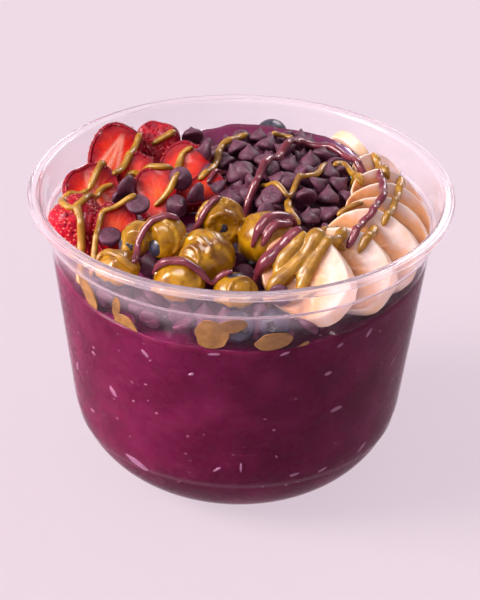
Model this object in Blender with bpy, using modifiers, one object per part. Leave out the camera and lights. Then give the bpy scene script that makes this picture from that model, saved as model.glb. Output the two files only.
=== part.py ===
"""Acai bowl: a clear round tub filled with acai and covered with fruit and chocolate chips.

Metres, +Z up. The base of the tub stands on z = 0 around the origin; the front is -Y.
"""
import math

import bmesh
import bpy
from mathutils import Matrix, Vector

# ---- driving dimensions (metres unless a name says otherwise) ----
HEIGHT = 0.103
RIM_RADIUS = 0.071
RIM_INNER_RADIUS = 0.0668
LIP_DROP = 0.0020
WALL = 0.0009
BASE_RADIUS = 0.0336
WALL_RADIUS_AT_BASE = 0.05283     # the straight wall's line carried down to z = 0
WALL_TAPER = 0.1262               # metres of radius gained per metre of height
CORNER_RADIUS = 0.03416
CORNER_CENTRE_R = 0.0225
CORNER_CENTRE_Z = 0.03231
CORNER_STEPS = 5
SHELF_Z = 0.0915                  # the lid shelf steps outwards here
SHELF_STEP = 0.0015
TURN_STEPS = 48

GAP = 0.0003
FILL_Z = 0.0777                   # where the acai meets the wall

FLOOR = 0.0010
ACAI_MIDDLE_Z = 0.0910
SLOPE_SHARES = (0.30, 0.70)       # rings between the slope's foot and its edge
TOP_SHARES = (0.85, 0.66, 0.45, 0.22)

# acai surface round the bowl: bearing in degrees, radius of the high part's edge,
# radius of the slope's foot, height of the edge, how sharply the top bends to it
ACAI_EDGE = (
    (-150, 0.0350, 0.0470, 0.0850, 2.0),
    (-120, 0.0350, 0.0480, 0.0835, 2.0),
    (-90, 0.0350, 0.0480, 0.0835, 2.0),
    (-60, 0.0320, 0.0500, 0.0880, 3.0),
    (-30, 0.0330, 0.0510, 0.0880, 3.0),
    (0, 0.0330, 0.0510, 0.0880, 3.0),
    (18, 0.0350, 0.0540, 0.0900, 3.0),
    (33, 0.0420, 0.0520, 0.0915, 4.0),
    (44, 0.0520, 0.0548, 0.0968, 4.0),
    (60, 0.0530, 0.0548, 0.0978, 4.0),
    (72, 0.0545, 0.0580, 0.0976, 4.0),
    (90, 0.0555, 0.0590, 0.0974, 4.0),
    (104, 0.0550, 0.0590, 0.0968, 4.0),
    (122, 0.0270, 0.0560, 0.0862, 2.0),
    (140, 0.0280, 0.0540, 0.0830, 2.0),
    (165, 0.0320, 0.0480, 0.0850, 2.0),
    (192, 0.0330, 0.0460, 0.0850, 2.0),
)

# strawberry slices: centre, turn about Z, lean back, spin in plane (degrees),
# width and length of the berry, and where the two cuts pass its core
STRAWBERRY_SLICES = (
    ((-0.0449, 0.0323, 0.0946), 8, 49, 6, 0.0195, 0.026, -0.0030, 0.0030),
    ((-0.0306, 0.0412, 0.0935), -12, 50, -6, 0.0200, 0.025, -0.0030, 0.0040),
    ((-0.0506, 0.0128, 0.0905), 14, 42, 20, 0.0210, 0.025, -0.0030, 0.0030),
    ((-0.0371, 0.0222, 0.0924), -8, 46, -20, 0.0150, 0.023, -0.0025, 0.0025),
    ((-0.0203, 0.0249, 0.0937), -14, 42, -12, 0.0225, 0.026, -0.0030, 0.0030),
    ((-0.0282, 0.0048, 0.0958), -5, 36, 10, 0.0190, 0.024, -0.0030, 0.0030),
    ((-0.0137, 0.0108, 0.0944), -25, 30, -40, 0.0150, 0.020, -0.0025, 0.0025),
    ((-0.0519, -0.0054, 0.0877), 22, 50, 25, 0.0220, 0.025, 0.0000, 0.0080),
    ((-0.0385, -0.0110, 0.0933), 4, 46, -10, 0.0180, 0.023, -0.0030, 0.0030),
)
STRAWBERRY_SEGMENTS = 16
STRAWBERRY_RINGS = 10

# banana slices: centre, bearing round the bowl (degrees), how far the face leans
# outwards, round towards the front and upwards, half length, half width, thickness
BANANA_SLICES = (
    ((0.0220, -0.0441, 0.0942), -61, 0.50, 0.45, 0.65, 0.0155, 0.0130, 0.0050),
    ((0.0347, -0.0354, 0.0926), -42, 0.55, 0.50, 0.60, 0.0155, 0.0130, 0.0046),
    ((0.0430, -0.0244, 0.0939), -28, 0.55, 0.58, 0.58, 0.0155, 0.0130, 0.0044),
    ((0.0466, -0.0145, 0.0936), -16, 0.55, 0.60, 0.58, 0.0155, 0.0130, 0.0042),
    ((0.0490, -0.0037, 0.0932), -4, 0.55, 0.60, 0.58, 0.0155, 0.0130, 0.0042),
    ((0.0490, 0.0091, 0.0925), 8, 0.60, 0.50, 0.55, 0.0150, 0.0125, 0.0042),
    ((0.0457, 0.0259, 0.0914), 26, 0.74, 0.40, 0.46, 0.0130, 0.0115, 0.0042),
    ((0.0360, 0.0472, 0.0915), 51, 0.99, 0.00, -0.12, 0.0120, 0.0110, 0.0040),
)
BANANA_SEGMENTS = 20
BANANA_BIAS = 0.5                 # the sides lean this much along the slice's length
BANANA_EDGE = 0.0005

# blueberries: centre and radius
BLUEBERRIES = (
    ((-0.0345, -0.0283, 0.0960), 0.0048),
    ((-0.0243, -0.0310, 0.0980), 0.0057),
    ((-0.0110, -0.0330, 0.0970), 0.0075),
    ((-0.0190, -0.0447, 0.0920), 0.0072),
    ((-0.0013, -0.0476, 0.0911), 0.0065),
    ((-0.0095, -0.0170, 0.0990), 0.0072),
    ((0.0070, -0.0250, 0.0975), 0.0070),
    ((-0.0392, -0.0389, 0.0930), 0.0066),
    ((0.0002, -0.0564, 0.0837), 0.0055),
    ((0.0114, -0.0557, 0.0839), 0.0055),
    ((0.0088, 0.0585, 0.0965), 0.0057),
)
BERRY_SEGMENTS = 12
BERRY_RINGS = 8
PRESSED_IN = (11,)                # berries that sit in a hollow of the acai

# heap of chocolate chips: outline as bearing (degrees) and reach from its middle
HEAP_CENTRE = (0.0140, 0.0130)
HEAP_REACH = (
    (0, 0.0215), (30, 0.0262), (60, 0.0330), (90, 0.0350), (120, 0.0320), (150, 0.0225),
    (180, 0.0190), (210, 0.0190), (240, 0.0220), (270, 0.0300), (290, 0.0300),
    (310, 0.0240), (335, 0.0215),
)
HEAP_SEGMENTS = 36
HEAP_LAYERS = (                   # share of the reach, height of the surface
    (1.00, 0.0985), (0.93, 0.1005), (0.76, 0.1022), (0.56, 0.1036),
    (0.34, 0.1044), (0.15, 0.1047),
)
HEAP_UNDER = (0.30, 0.55, 0.78, 1.00)
HEAP_CLEARANCE = 0.0018
HEAP_LUMP = 0.0009
HEAP_LUMP_PITCH = 0.0090


def clear_scene():
    for item in list(bpy.data.objects):
        bpy.data.objects.remove(item, do_unlink=True)


def material(name, color, roughness, alpha=1.0):
    mat = bpy.data.materials.new(name)
    mat.use_nodes = True
    shader = mat.node_tree.nodes["Principled BSDF"]
    shader.inputs["Base Color"].default_value = (*color, 1.0)
    shader.inputs["Roughness"].default_value = roughness
    shader.inputs["Metallic"].default_value = 0.0
    shader.inputs["Alpha"].default_value = alpha
    return mat


def around(table, bearing):
    """Row of a table whose first column is a bearing in degrees, read in between."""
    rows = [*table, (table[0][0] + 360.0, *table[0][1:])]
    bearing = (bearing - rows[0][0]) % 360.0 + rows[0][0]
    for low, high in zip(rows, rows[1:]):
        if bearing <= high[0]:
            share = (bearing - low[0]) / (high[0] - low[0])
            share = share * share * (3.0 - 2.0 * share)
            return [p + (q - p) * share for p, q in zip(low[1:], high[1:])]
    return list(rows[-1][1:])


def corner(radius, low, high):
    """Points of the rounded bottom corner from height low up to height high."""
    start = math.asin((low - CORNER_CENTRE_Z) / radius)
    end = math.asin((high - CORNER_CENTRE_Z) / radius)
    points = []
    for i in range(CORNER_STEPS + 1):
        angle = start + (end - start) * i / CORNER_STEPS
        points.append((CORNER_CENTRE_R + radius * math.cos(angle),
                       CORNER_CENTRE_Z + radius * math.sin(angle)))
    return points


def wall_side(inset, bottom, top):
    """Section of the tub's wall moved inwards, from the floor's edge to a height."""
    tilt = math.atan(WALL_TAPER)
    radius = CORNER_RADIUS - inset
    points = corner(radius, bottom, CORNER_CENTRE_Z - radius * math.sin(tilt))
    points.append((wall_radius(top) - inset, top))
    return points


def wall_radius(z):
    return WALL_RADIUS_AT_BASE + WALL_TAPER * z


def acai_top(radius, bearing):
    edge, foot, edge_z, bend = around(ACAI_EDGE, bearing)
    if radius <= edge:
        return ACAI_MIDDLE_Z + (edge_z - ACAI_MIDDLE_Z) * (radius / edge) ** bend
    if radius >= foot:
        return FILL_Z
    share = (radius - edge) / (foot - edge)
    share = share * share * (3.0 - 2.0 * share)
    return edge_z + (FILL_Z - edge_z) * share


def tub_section():
    """Inside from the middle of the floor to the rim, then down the outside."""
    shelf_in = wall_radius(SHELF_Z) - WALL
    band_foot = shelf_in + SHELF_STEP
    inside = [(0.0, FLOOR)] + wall_side(WALL, FLOOR, SHELF_Z)
    rim = [
        (band_foot, SHELF_Z + 0.0009),
        (RIM_INNER_RADIUS - 0.0003, HEIGHT - 0.0008),
        (RIM_INNER_RADIUS + 0.0003, HEIGHT),
        (RIM_RADIUS - 0.0005, HEIGHT),
        (RIM_RADIUS, HEIGHT - 0.0005),
        (RIM_RADIUS, HEIGHT - LIP_DROP),
        (RIM_RADIUS - 0.0008, HEIGHT - LIP_DROP),
        (RIM_RADIUS - 0.0009, HEIGHT - WALL),
        (RIM_INNER_RADIUS + 0.0009, HEIGHT - WALL),
        (band_foot + WALL, SHELF_Z + 0.0004),
    ]
    outside = wall_side(0.0, 0.0, SHELF_Z - 0.0005)[::-1] + [(0.0, 0.0)]
    return inside + rim + outside


def add(name, mesh, mat, collection):
    mesh.name = name
    item = bpy.data.objects.new(name, mesh)
    item.data.materials.append(mat)
    collection.objects.link(item)
    return item


def to_mesh(bm, smooth=True):
    bmesh.ops.recalc_face_normals(bm, faces=bm.faces[:])
    mesh = bpy.data.meshes.new("shape")
    for face in bm.faces:
        face.smooth = smooth
    bm.to_mesh(mesh)
    bm.free()
    return mesh


def line_mesh(points):
    mesh = bpy.data.meshes.new("line")
    edges = [(i, i + 1) for i in range(len(points) - 1)]
    mesh.from_pydata([(r, 0.0, z) for r, z in points], edges, [])
    return mesh


def make_tub(mat, collection):
    tub = add("bowl", line_mesh(tub_section()), mat, collection)
    screw = tub.modifiers.new("Turn", "SCREW")
    screw.axis = "Z"
    screw.steps = TURN_STEPS
    screw.render_steps = TURN_STEPS
    screw.use_merge_vertices = True
    screw.merge_threshold = 0.00005
    screw.use_smooth_shade = True
    return tub


def make_acai(mat, collection):
    side = wall_side(WALL + GAP, FLOOR + GAP, FILL_Z)
    rings = len(SLOPE_SHARES) + len(TOP_SHARES) + 2
    wall_r = side[-1][0]
    top = [(wall_r * (rings - i) / (rings + 1), FILL_Z) for i in range(rings)]
    section = [(0.0, FILL_Z)] + top[::-1] + side[::-1] + [(0.0, FLOOR + GAP)]
    bm = bmesh.new()
    points = [bm.verts.new((r, 0.0, z)) for r, z in section]
    lines = [bm.edges.new(pair) for pair in zip(points, points[1:])]
    bmesh.ops.spin(bm, geom=points + lines, cent=(0, 0, 0), axis=(0, 0, 1),
                   angle=math.tau, steps=TURN_STEPS, use_merge=True)
    bmesh.ops.remove_doubles(bm, verts=bm.verts[:], dist=0.00005)
    for vert in bm.verts:
        radius = math.hypot(vert.co.x, vert.co.y)
        if vert.co.z < FILL_Z - 1e-6 or radius > wall_r - 1e-6:
            continue
        if radius < 1e-6:
            vert.co.z = ACAI_MIDDLE_Z
            continue
        bearing = math.atan2(vert.co.y, vert.co.x)
        edge, foot = around(ACAI_EDGE, math.degrees(bearing))[:2]
        stops = [foot]
        stops += [foot + (edge - foot) * share for share in SLOPE_SHARES]
        stops += [edge] + [edge * share for share in TOP_SHARES]
        stop = stops[round(rings - radius / wall_r * (rings + 1))]
        vert.co.x = stop * math.cos(bearing)
        vert.co.y = stop * math.sin(bearing)
        vert.co.z = acai_top(stop, math.degrees(bearing))
    return add("acai", to_mesh(bm), mat, collection)


def heap_ring(bm, share, height):
    """One ring of the heap; without a height it lies on the acai."""
    ring = []
    for i in range(HEAP_SEGMENTS):
        bearing = math.tau * i / HEAP_SEGMENTS
        reach = around(HEAP_REACH, math.degrees(bearing))[0]
        reach += HEAP_LUMP * math.sin(7.0 * bearing)
        x = HEAP_CENTRE[0] + reach * share * math.cos(bearing)
        y = HEAP_CENTRE[1] + reach * share * math.sin(bearing)
        if height is None:
            z = acai_top(math.hypot(x, y), math.degrees(math.atan2(y, x))) + HEAP_CLEARANCE
        else:
            z = height + HEAP_LUMP * (math.sin(math.tau * x / HEAP_LUMP_PITCH)
                                      * math.sin(math.tau * y / HEAP_LUMP_PITCH + 1.0))
        ring.append(bm.verts.new((x, y, z)))
    return ring


def make_heap(mat, collection):
    bm = bmesh.new()
    under = [heap_ring(bm, share, None) for share in HEAP_UNDER]
    over = [heap_ring(bm, share, height) for share, height in HEAP_LAYERS]
    rings = under + over
    for low, high in zip(rings, rings[1:]):
        for i in range(HEAP_SEGMENTS):
            j = (i + 1) % HEAP_SEGMENTS
            bm.faces.new((low[i], low[j], high[j], high[i]))
    bm.faces.new(rings[0][::-1])
    bm.faces.new(rings[-1])
    return add("chip_heap", to_mesh(bm), mat, collection)


def make_strawberry_slice(number, row, mat, collection):
    centre, turn, lean, spin, width, length, low, high = row
    bm = bmesh.new()
    bmesh.ops.create_uvsphere(bm, u_segments=STRAWBERRY_SEGMENTS,
                              v_segments=STRAWBERRY_RINGS, radius=1.0)
    bmesh.ops.rotate(bm, verts=bm.verts[:], matrix=Matrix.Rotation(-math.pi / 2, 3, "X"))
    for vert in bm.verts:
        x, y, z = vert.co
        across = math.hypot(x, z)
        narrowing = 0.80 + 0.20 * y
        dimple = 0.22 * math.exp(-(across / 0.35) ** 2) if y > 0.0 else 0.0
        vert.co = (x * narrowing * width / 2, (y - dimple) * length / 2,
                   z * narrowing * width / 2)
    for level, sign in ((high, 1.0), (low, -1.0)):
        cut = bmesh.ops.bisect_plane(bm, geom=bm.verts[:] + bm.edges[:] + bm.faces[:],
                                     dist=1e-6, plane_co=(0, 0, level),
                                     plane_no=(0, 0, sign), clear_outer=True)
        rim = [part for part in cut["geom_cut"] if isinstance(part, bmesh.types.BMEdge)]
        if rim:
            bmesh.ops.contextual_create(bm, geom=rim)
    item = add(f"strawberry_slice_{number}", to_mesh(bm, smooth=False), mat, collection)
    item.matrix_world = (Matrix.Translation(centre)
                         @ Matrix.Rotation(math.radians(turn), 4, "Z")
                         @ Matrix.Rotation(math.radians(lean), 4, "X")
                         @ Matrix.Rotation(math.radians(spin), 4, "Z"))
    return item


def make_banana_slice(number, row, mat, collection):
    centre, bearing, outward, frontward, upward, half_long, half_wide, thick = row
    angle = math.radians(bearing)
    out = Vector((math.cos(angle), math.sin(angle), 0.0))
    front = Vector((math.sin(angle), -math.cos(angle), 0.0))
    normal = (out * outward + front * frontward + Vector((0, 0, upward))).normalized()
    along = -(out - normal * out.dot(normal)).normalized()
    across = normal.cross(along)
    bm = bmesh.new()
    bmesh.ops.create_cone(bm, cap_ends=True, segments=BANANA_SEGMENTS,
                          radius1=1.0, radius2=1.0, depth=thick)
    for vert in bm.verts:
        vert.co.x = vert.co.x * half_long + vert.co.z * BANANA_BIAS
        vert.co.y *= half_wide
    item = add(f"banana_slice_{number}", to_mesh(bm, smooth=False), mat, collection)
    bevel = item.modifiers.new("Soft edge", "BEVEL")
    bevel.width = BANANA_EDGE
    bevel.segments = 1
    bevel.limit_method = "ANGLE"
    turned = Matrix((along, across, normal)).transposed().to_4x4()
    item.matrix_world = Matrix.Translation(centre) @ turned
    return item


def make_blueberry(number, centre, radius, mat, collection):
    bm = bmesh.new()
    bmesh.ops.create_uvsphere(bm, u_segments=BERRY_SEGMENTS, v_segments=BERRY_RINGS,
                              radius=radius)
    for vert in bm.verts:
        across = math.hypot(vert.co.x, vert.co.y)
        vert.co.z *= 0.93
        if vert.co.z > 0.0:
            vert.co.z -= radius * 0.16 * math.exp(-(across / (0.3 * radius)) ** 2)
    item = add(f"blueberry_{number}", to_mesh(bm), mat, collection)
    item.location = centre
    item.rotation_euler = (0.9 * math.sin(2.3 * number), 0.9 * math.cos(1.7 * number), 0.0)
    return item


def press_in(acai, berry, radius, cutters):
    hollow = bpy.data.objects.new(f"hollow_{berry.name}", berry.data.copy())
    hollow.location = berry.location
    hollow.rotation_euler = berry.rotation_euler
    hollow.data.transform(Matrix.Scale(1.0 + 1.5 * GAP / radius, 4))
    hollow.hide_render = True
    hollow.display_type = "WIRE"
    cutters.objects.link(hollow)
    cut = acai.modifiers.new("Hollow", "BOOLEAN")
    cut.operation = "DIFFERENCE"
    cut.solver = "EXACT"
    cut.object = hollow


def main():
    clear_scene()
    collection = bpy.data.collections.new("acai_bowl")
    cutters = bpy.data.collections.new("cutters")
    bpy.context.scene.collection.children.link(collection)
    bpy.context.scene.collection.children.link(cutters)
    make_tub(material("clear_plastic", (0.90, 0.84, 0.90), 0.08, 0.35), collection)
    acai = make_acai(material("acai", (0.10, 0.012, 0.055), 0.35), collection)
    make_heap(material("dark_chocolate", (0.045, 0.018, 0.022), 0.45), collection)
    for i, row in enumerate(STRAWBERRY_SLICES, 1):
        mat = material(f"strawberry_{i}", (0.70, 0.05, 0.03), 0.35)
        make_strawberry_slice(i, row, mat, collection)
    for i, row in enumerate(BANANA_SLICES, 1):
        mat = material(f"banana_{i}", (0.87, 0.66, 0.56), 0.50)
        make_banana_slice(i, row, mat, collection)
    for i, (centre, radius) in enumerate(BLUEBERRIES, 1):
        mat = material(f"berry_{i}", (0.05, 0.04, 0.10), 0.45)
        berry = make_blueberry(i, centre, radius, mat, collection)
        if i in PRESSED_IN:
            press_in(acai, berry, radius, cutters)


main()
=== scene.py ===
"""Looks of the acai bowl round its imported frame. Metres, +Z up, the front is -Y."""
import math
import random

import bmesh
import bpy
import numpy as np
from mathutils import Matrix, Vector, noise
from mathutils.bvhtree import BVHTree


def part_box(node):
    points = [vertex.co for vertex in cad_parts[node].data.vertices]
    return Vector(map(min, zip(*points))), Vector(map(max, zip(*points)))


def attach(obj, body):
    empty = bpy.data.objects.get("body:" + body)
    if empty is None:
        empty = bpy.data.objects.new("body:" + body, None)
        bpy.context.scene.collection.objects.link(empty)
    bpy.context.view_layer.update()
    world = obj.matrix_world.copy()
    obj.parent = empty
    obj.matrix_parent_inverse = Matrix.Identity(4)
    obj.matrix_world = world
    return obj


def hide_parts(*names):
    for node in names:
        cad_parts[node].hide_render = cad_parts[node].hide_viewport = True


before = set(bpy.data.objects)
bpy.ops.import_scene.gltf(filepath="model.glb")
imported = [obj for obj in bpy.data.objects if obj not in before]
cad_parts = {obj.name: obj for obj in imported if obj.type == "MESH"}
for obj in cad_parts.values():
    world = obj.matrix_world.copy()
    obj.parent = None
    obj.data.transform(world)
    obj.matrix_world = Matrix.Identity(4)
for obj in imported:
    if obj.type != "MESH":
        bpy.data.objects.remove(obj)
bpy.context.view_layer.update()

BODY = "root"
MM = 0.001
RNG = random.Random(7)

# ---- the tub, with the design numbers of the CAD (millimetres) ----
HEIGHT = 103.0
RIM_RADIUS = 71.0
RIM_INNER_RADIUS = 66.8
LIP_DROP = 2.0
WALL = 0.9
WALL_RADIUS_AT_BASE = 52.83
WALL_TAPER = 0.1262
CORNER_RADIUS = 34.16
CORNER_CENTRE_R = 22.5
CORNER_CENTRE_Z = 32.31
SHELF_Z = 91.5
SHELF_STEP = 1.5
FILL_Z = 77.7
FLOOR_Z = 1.0
BEAD_Z = 20.5                     # a fine moulded line in the round corner
TUB_STEPS = 192
FRUIT_GAP = 0.15                  # between the wall and fruit pressed against it
WIDE_Z = SHELF_Z + 0.5            # from here up the tub is wider by the shelf


# ---------------------------------------------------------------- colours and materials

def rgb(code):
    """Linear colour, with alpha, of a six-digit hex code."""
    values = [int(code[i:i + 2], 16) / 255 for i in (0, 2, 4)]
    return [v / 12.92 if v <= 0.04045 else ((v + 0.055) / 1.055) ** 2.4
            for v in values] + [1.0]


class Look:
    """A procedural material, wired up step by step."""

    def __init__(self, name, roughness, **values):
        self.material = bpy.data.materials.new(name)
        self.material.use_nodes = True
        self.tree = self.material.node_tree
        self.shader = self.tree.nodes["Principled BSDF"]
        self.output = self.tree.nodes["Material Output"]
        self.place = self.node("TexCoord").outputs["Object"]
        self.shader.inputs["Roughness"].default_value = roughness
        for key, value in values.items():
            socket = key.replace("_", " ").title().replace("Ior", "IOR")
            self.shader.inputs[socket].default_value = value

    def node(self, kind, **settings):
        made = self.tree.nodes.new("ShaderNode" + kind)
        for name, value in settings.items():
            setattr(made, name, value)
        return made

    def feed(self, socket, value):
        if isinstance(value, bpy.types.NodeSocket):
            self.tree.links.new(value, socket)
        elif value is not None:
            socket.default_value = value

    def attribute(self, name, output="Fac"):
        return self.node("Attribute", attribute_name=name).outputs[output]

    def noise(self, scale, detail=2.0, where=None, distortion=0.0):
        made = self.node("TexNoise")
        self.feed(made.inputs["Vector"], where or self.place)
        self.feed(made.inputs["Scale"], scale)
        self.feed(made.inputs["Detail"], detail)
        self.feed(made.inputs["Distortion"], distortion)
        return made.outputs["Fac"]

    def cells(self, scale, where=None):
        """Distance to the middle of the nearest cell."""
        made = self.node("TexVoronoi", feature="F1")
        self.feed(made.inputs["Vector"], where or self.place)
        self.feed(made.inputs["Scale"], scale)
        return made.outputs["Distance"]

    def stretch(self, scale, turn):
        """Places scaled and turned, for patterns that run one way."""
        made = self.node("Mapping")
        self.feed(made.inputs["Vector"], self.place)
        made.inputs["Scale"].default_value = scale
        made.inputs["Rotation"].default_value = turn
        return made.outputs["Vector"]

    def ramp(self, value, *stops):
        """Colours by value; each stop is a position and a hex code."""
        made = self.node("ValToRGB")
        self.feed(made.inputs["Fac"], value)
        band = made.color_ramp
        while len(band.elements) < len(stops):
            band.elements.new(0.5)
        for element, (position, code) in zip(band.elements, stops):
            element.position = position
            element.color = rgb(code)
        return made.outputs["Color"]

    def levels(self, value, low, high, new_low=0.0, new_high=1.0):
        made = self.node("MapRange")
        for name, item in zip(("Value", "From Min", "From Max", "To Min", "To Max"),
                              (value, low, high, new_low, new_high)):
            self.feed(made.inputs[name], item)
        return made.outputs["Result"]

    def blend(self, share, first, second):
        made = self.node("Mix", data_type="RGBA", blend_type="MIX")
        self.feed(made.inputs["Factor"], share)
        self.feed(made.inputs[6], self.as_colour(first))
        self.feed(made.inputs[7], self.as_colour(second))
        return made.outputs[2]

    def as_colour(self, value):
        return rgb(value) if isinstance(value, str) else value

    def sum(self, first, second, operation="ADD"):
        made = self.node("Math", operation=operation)
        self.feed(made.inputs[0], first)
        self.feed(made.inputs[1], second)
        return made.outputs[0]

    def times(self, first, second):
        return self.sum(first, second, "MULTIPLY")

    def tint(self, share, strength, base, colour):
        """The base with a colour over it, as far as the share and strength allow."""
        return self.blend(self.times(share, strength), base, colour)

    def colour(self, value):
        self.feed(self.shader.inputs["Base Color"], self.as_colour(value))

    def rough(self, value):
        self.feed(self.shader.inputs["Roughness"], value)

    def patchy_rough(self, scale, low, high):
        """Roughness that changes from place to place."""
        self.rough(self.levels(self.noise(scale, 3.0), 0.3, 0.8, low, high))

    def bump(self, height, depth_mm, strength):
        """Relief of a given depth; several calls add up."""
        made = self.node("Bump")
        made.inputs["Strength"].default_value = strength
        made.inputs["Distance"].default_value = depth_mm * MM
        self.feed(made.inputs["Height"], height)
        socket = self.shader.inputs["Normal"]
        if socket.is_linked:
            self.feed(made.inputs["Normal"], socket.links[0].from_socket)
        self.feed(socket, made.outputs["Normal"])


def clear_plastic(name, ior):
    look = Look(name, 0.06, ior=ior, transmission_weight=1.0)
    look.colour("fffdff")
    look.patchy_rough(60.0, 0.03, 0.12)
    haze = look.node("BsdfPrincipled")
    haze.inputs["Base Color"].default_value = rgb("fbe9f5")
    haze.inputs["Roughness"].default_value = 0.25
    milky = look.node("MixShader")
    look.feed(milky.inputs[0], look.attribute("haze"))
    look.feed(milky.inputs[1], look.shader.outputs[0])
    look.feed(milky.inputs[2], haze.outputs[0])
    clear = look.node("BsdfTransparent")
    clear.inputs["Color"].default_value = rgb("f6ecf3")
    lamps = look.node("MixShader")
    look.feed(lamps.inputs[0], look.node("LightPath").outputs["Is Shadow Ray"])
    look.feed(lamps.inputs[1], milky.outputs[0])
    look.feed(lamps.inputs[2], clear.outputs[0])
    look.feed(look.output.inputs["Surface"], lamps.outputs[0])
    return look.material


def acai_look():
    look = Look("acai_puree", 0.28, coat_roughness=0.12, specular_ior_level=0.08)
    cloud = look.noise(70.0, 4.0)
    base = look.ramp(cloud, (0.30, "4c0628"), (0.52, "580c32"), (0.75, "68183e"))
    streaks = look.noise(1.0, 3.0, look.stretch((160.0, 160.0, 700.0), (0.3, 0.2, 0.0)))
    base = look.blend(look.levels(streaks, 0.62, 0.85, 0.0, 0.25), base, "a24e7c")
    grains = look.cells(1.0, look.stretch((210.0, 210.0, 520.0), (0.5, 0.0, 0.2)))
    chosen = look.noise(95.0, 1.0)
    fleck = look.times(look.levels(grains, 0.16, 0.05), look.levels(chosen, 0.60, 0.66))
    base = look.blend(fleck, base, "dba6c4")
    top = look.attribute("top")
    look.feed(look.shader.inputs["Coat Weight"], top)
    # painted light: the top is tinted lighter and pinker than the side
    base = look.tint(top, 0.45, base, "801a58")
    # painted highlight: a pale lavender sheen on the crest
    base = look.tint(look.attribute("painted_sheen"), 0.7, base, "a078c8")
    look.colour(base)
    look.patchy_rough(240.0, 0.18, 0.42)
    look.bump(look.times(look.noise(300.0, 3.0), top), 0.5, 0.5)
    look.bump(look.noise(60.0, 2.0), 0.6, 0.3)
    return look.material


def fleck_look():
    look = Look("acai_fleck", 0.4)
    look.colour(look.ramp(look.noise(500.0, 3.0), (0.3, "7e4a6a"), (0.6, "9c6888"),
                          (0.8, "b88ca6")))
    look.bump(look.noise(1500.0, 2.0), 0.05, 0.3)
    return look.material


def chocolate_look():
    look = Look("chocolate_chip", 0.60, specular_ior_level=0.36)
    tint = look.noise(260.0, 4.0)
    base = look.ramp(tint, (0.25, "3c1428"), (0.5, "58243e"), (0.8, "743e5a"))
    bloom = look.noise(1300.0, 4.0)
    base = look.blend(look.levels(bloom, 0.50, 0.72, 0.0, 0.40), base, "8e5c7c")
    look.colour(base)
    look.rough(look.levels(tint, 0.3, 0.8, 0.48, 0.74))
    look.bump(look.noise(900.0, 4.0), 0.22, 0.6)
    return look.material


def strawberry_look():
    """Cut flesh inside, red skin where the attribute skin is 1."""
    look = Look("strawberry_flesh", 0.36, subsurface_weight=0.05, subsurface_scale=0.002,
                coat_roughness=0.18, specular_ior_level=0.10)
    look.feed(look.shader.inputs["Coat Weight"],
              look.levels(look.noise(190.0, 3.0), 0.56, 0.72, 0.0, 0.5))
    look.shader.inputs["Subsurface Radius"].default_value = (1.0, 0.35, 0.2)
    rim = look.attribute("rim")
    fibre = look.attribute("fibre", "Vector")
    rays = look.noise(9.0, 3.0, fibre, 0.4)
    wobble = look.sum(rim, look.levels(look.noise(320.0, 3.0), 0.3, 0.7, -0.10, 0.10))
    flesh = look.ramp(wobble, (0.0, "f4641c"), (0.30, "ea3c0c"), (0.54, "d81e08"),
                      (0.76, "b00a14"), (1.0, "780420"))
    pale = look.times(look.levels(rays, 0.50, 0.66), look.levels(rim, 0.86, 0.45))
    flesh = look.tint(pale, 0.12, flesh, "f0825c")
    core = look.levels(look.attribute("core"), 0.0, 1.0)
    flesh = look.tint(core, 0.62, flesh, "f6b8a4")
    skin = look.ramp(look.noise(420.0, 3.0), (0.3, "800426"), (0.5, "a80a24"),
                     (0.75, "ce1e34"))
    base = look.blend(look.attribute("skin"), flesh, skin)
    base = look.tint(look.attribute("side"), 0.75, base, "74061e")
    look.colour(base)
    look.patchy_rough(500.0, 0.26, 0.50)
    look.bump(rays, 0.14, 0.5)
    pits = look.levels(look.cells(680.0), 0.0, 0.5)
    look.bump(look.times(pits, look.attribute("skin")), 0.50, 0.9)
    look.bump(look.noise(900.0, 4.0), 0.18, 0.5)
    return look.material


def seed_look():
    look = Look("strawberry_seed", 0.35)
    look.colour(look.ramp(look.noise(900.0, 2.0), (0.3, "b4482e"), (0.7, "e09468")))
    look.bump(look.noise(2500.0, 2.0), 0.05, 0.4)
    return look.material


def banana_look():
    look = Look("banana_flesh", 0.42, subsurface_weight=0.30, subsurface_scale=0.004,
                coat_weight=0.18, coat_roughness=0.25)
    look.shader.inputs["Subsurface Radius"].default_value = (1.0, 0.6, 0.35)
    rim = look.attribute("rim")
    fibre = look.attribute("fibre", "Vector")
    face = look.ramp(look.noise(160.0, 4.0), (0.25, "f2c6ac"), (0.5, "f8d8ca"),
                     (0.8, "fdeae6"))
    rays = look.noise(6.0, 3.0, fibre)
    face = look.blend(look.levels(rays, 0.55, 0.75, 0.0, 0.35), face, "f0bfa4")
    face = look.tint(look.attribute("core"), 0.55, face, "c98a63")
    # painted shade, orange then brown, in the seams between slices and at their outer ends; on
    # the front slice the same colour stands for gold sauce
    ragged = look.levels(look.noise(170.0, 3.0), 0.3, 0.7, -0.2, 0.2)
    seam_shade_and_sauce = look.sum(look.attribute("seam_shade_and_sauce"), ragged)
    face = look.blend(look.levels(seam_shade_and_sauce, 0.0, 0.5, 0.0, 0.9), face, "f0a860")
    face = look.blend(look.levels(seam_shade_and_sauce, 0.6, 1.05, 0.0, 0.92), face, "a85e08")
    # painted highlight: a pale band round each face's outline where the rounded edge catches
    # the light, kept off the seams
    edge = look.times(look.levels(rim, 0.93, 0.985), look.levels(seam_shade_and_sauce, 0.9, 0.3))
    face = look.tint(edge, 0.8, face, "fdeadf")
    side = look.ramp(look.noise(120.0, 3.0), (0.3, "f0c090"), (0.6, "f8dcc4"),
                     (0.85, "fff0e6"))
    look.colour(look.blend(look.attribute("skin"), face, side))
    look.patchy_rough(600.0, 0.30, 0.55)
    look.bump(rays, 0.2, 0.4)
    look.bump(look.noise(700.0, 4.0), 0.15, 0.4)
    return look.material


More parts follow.
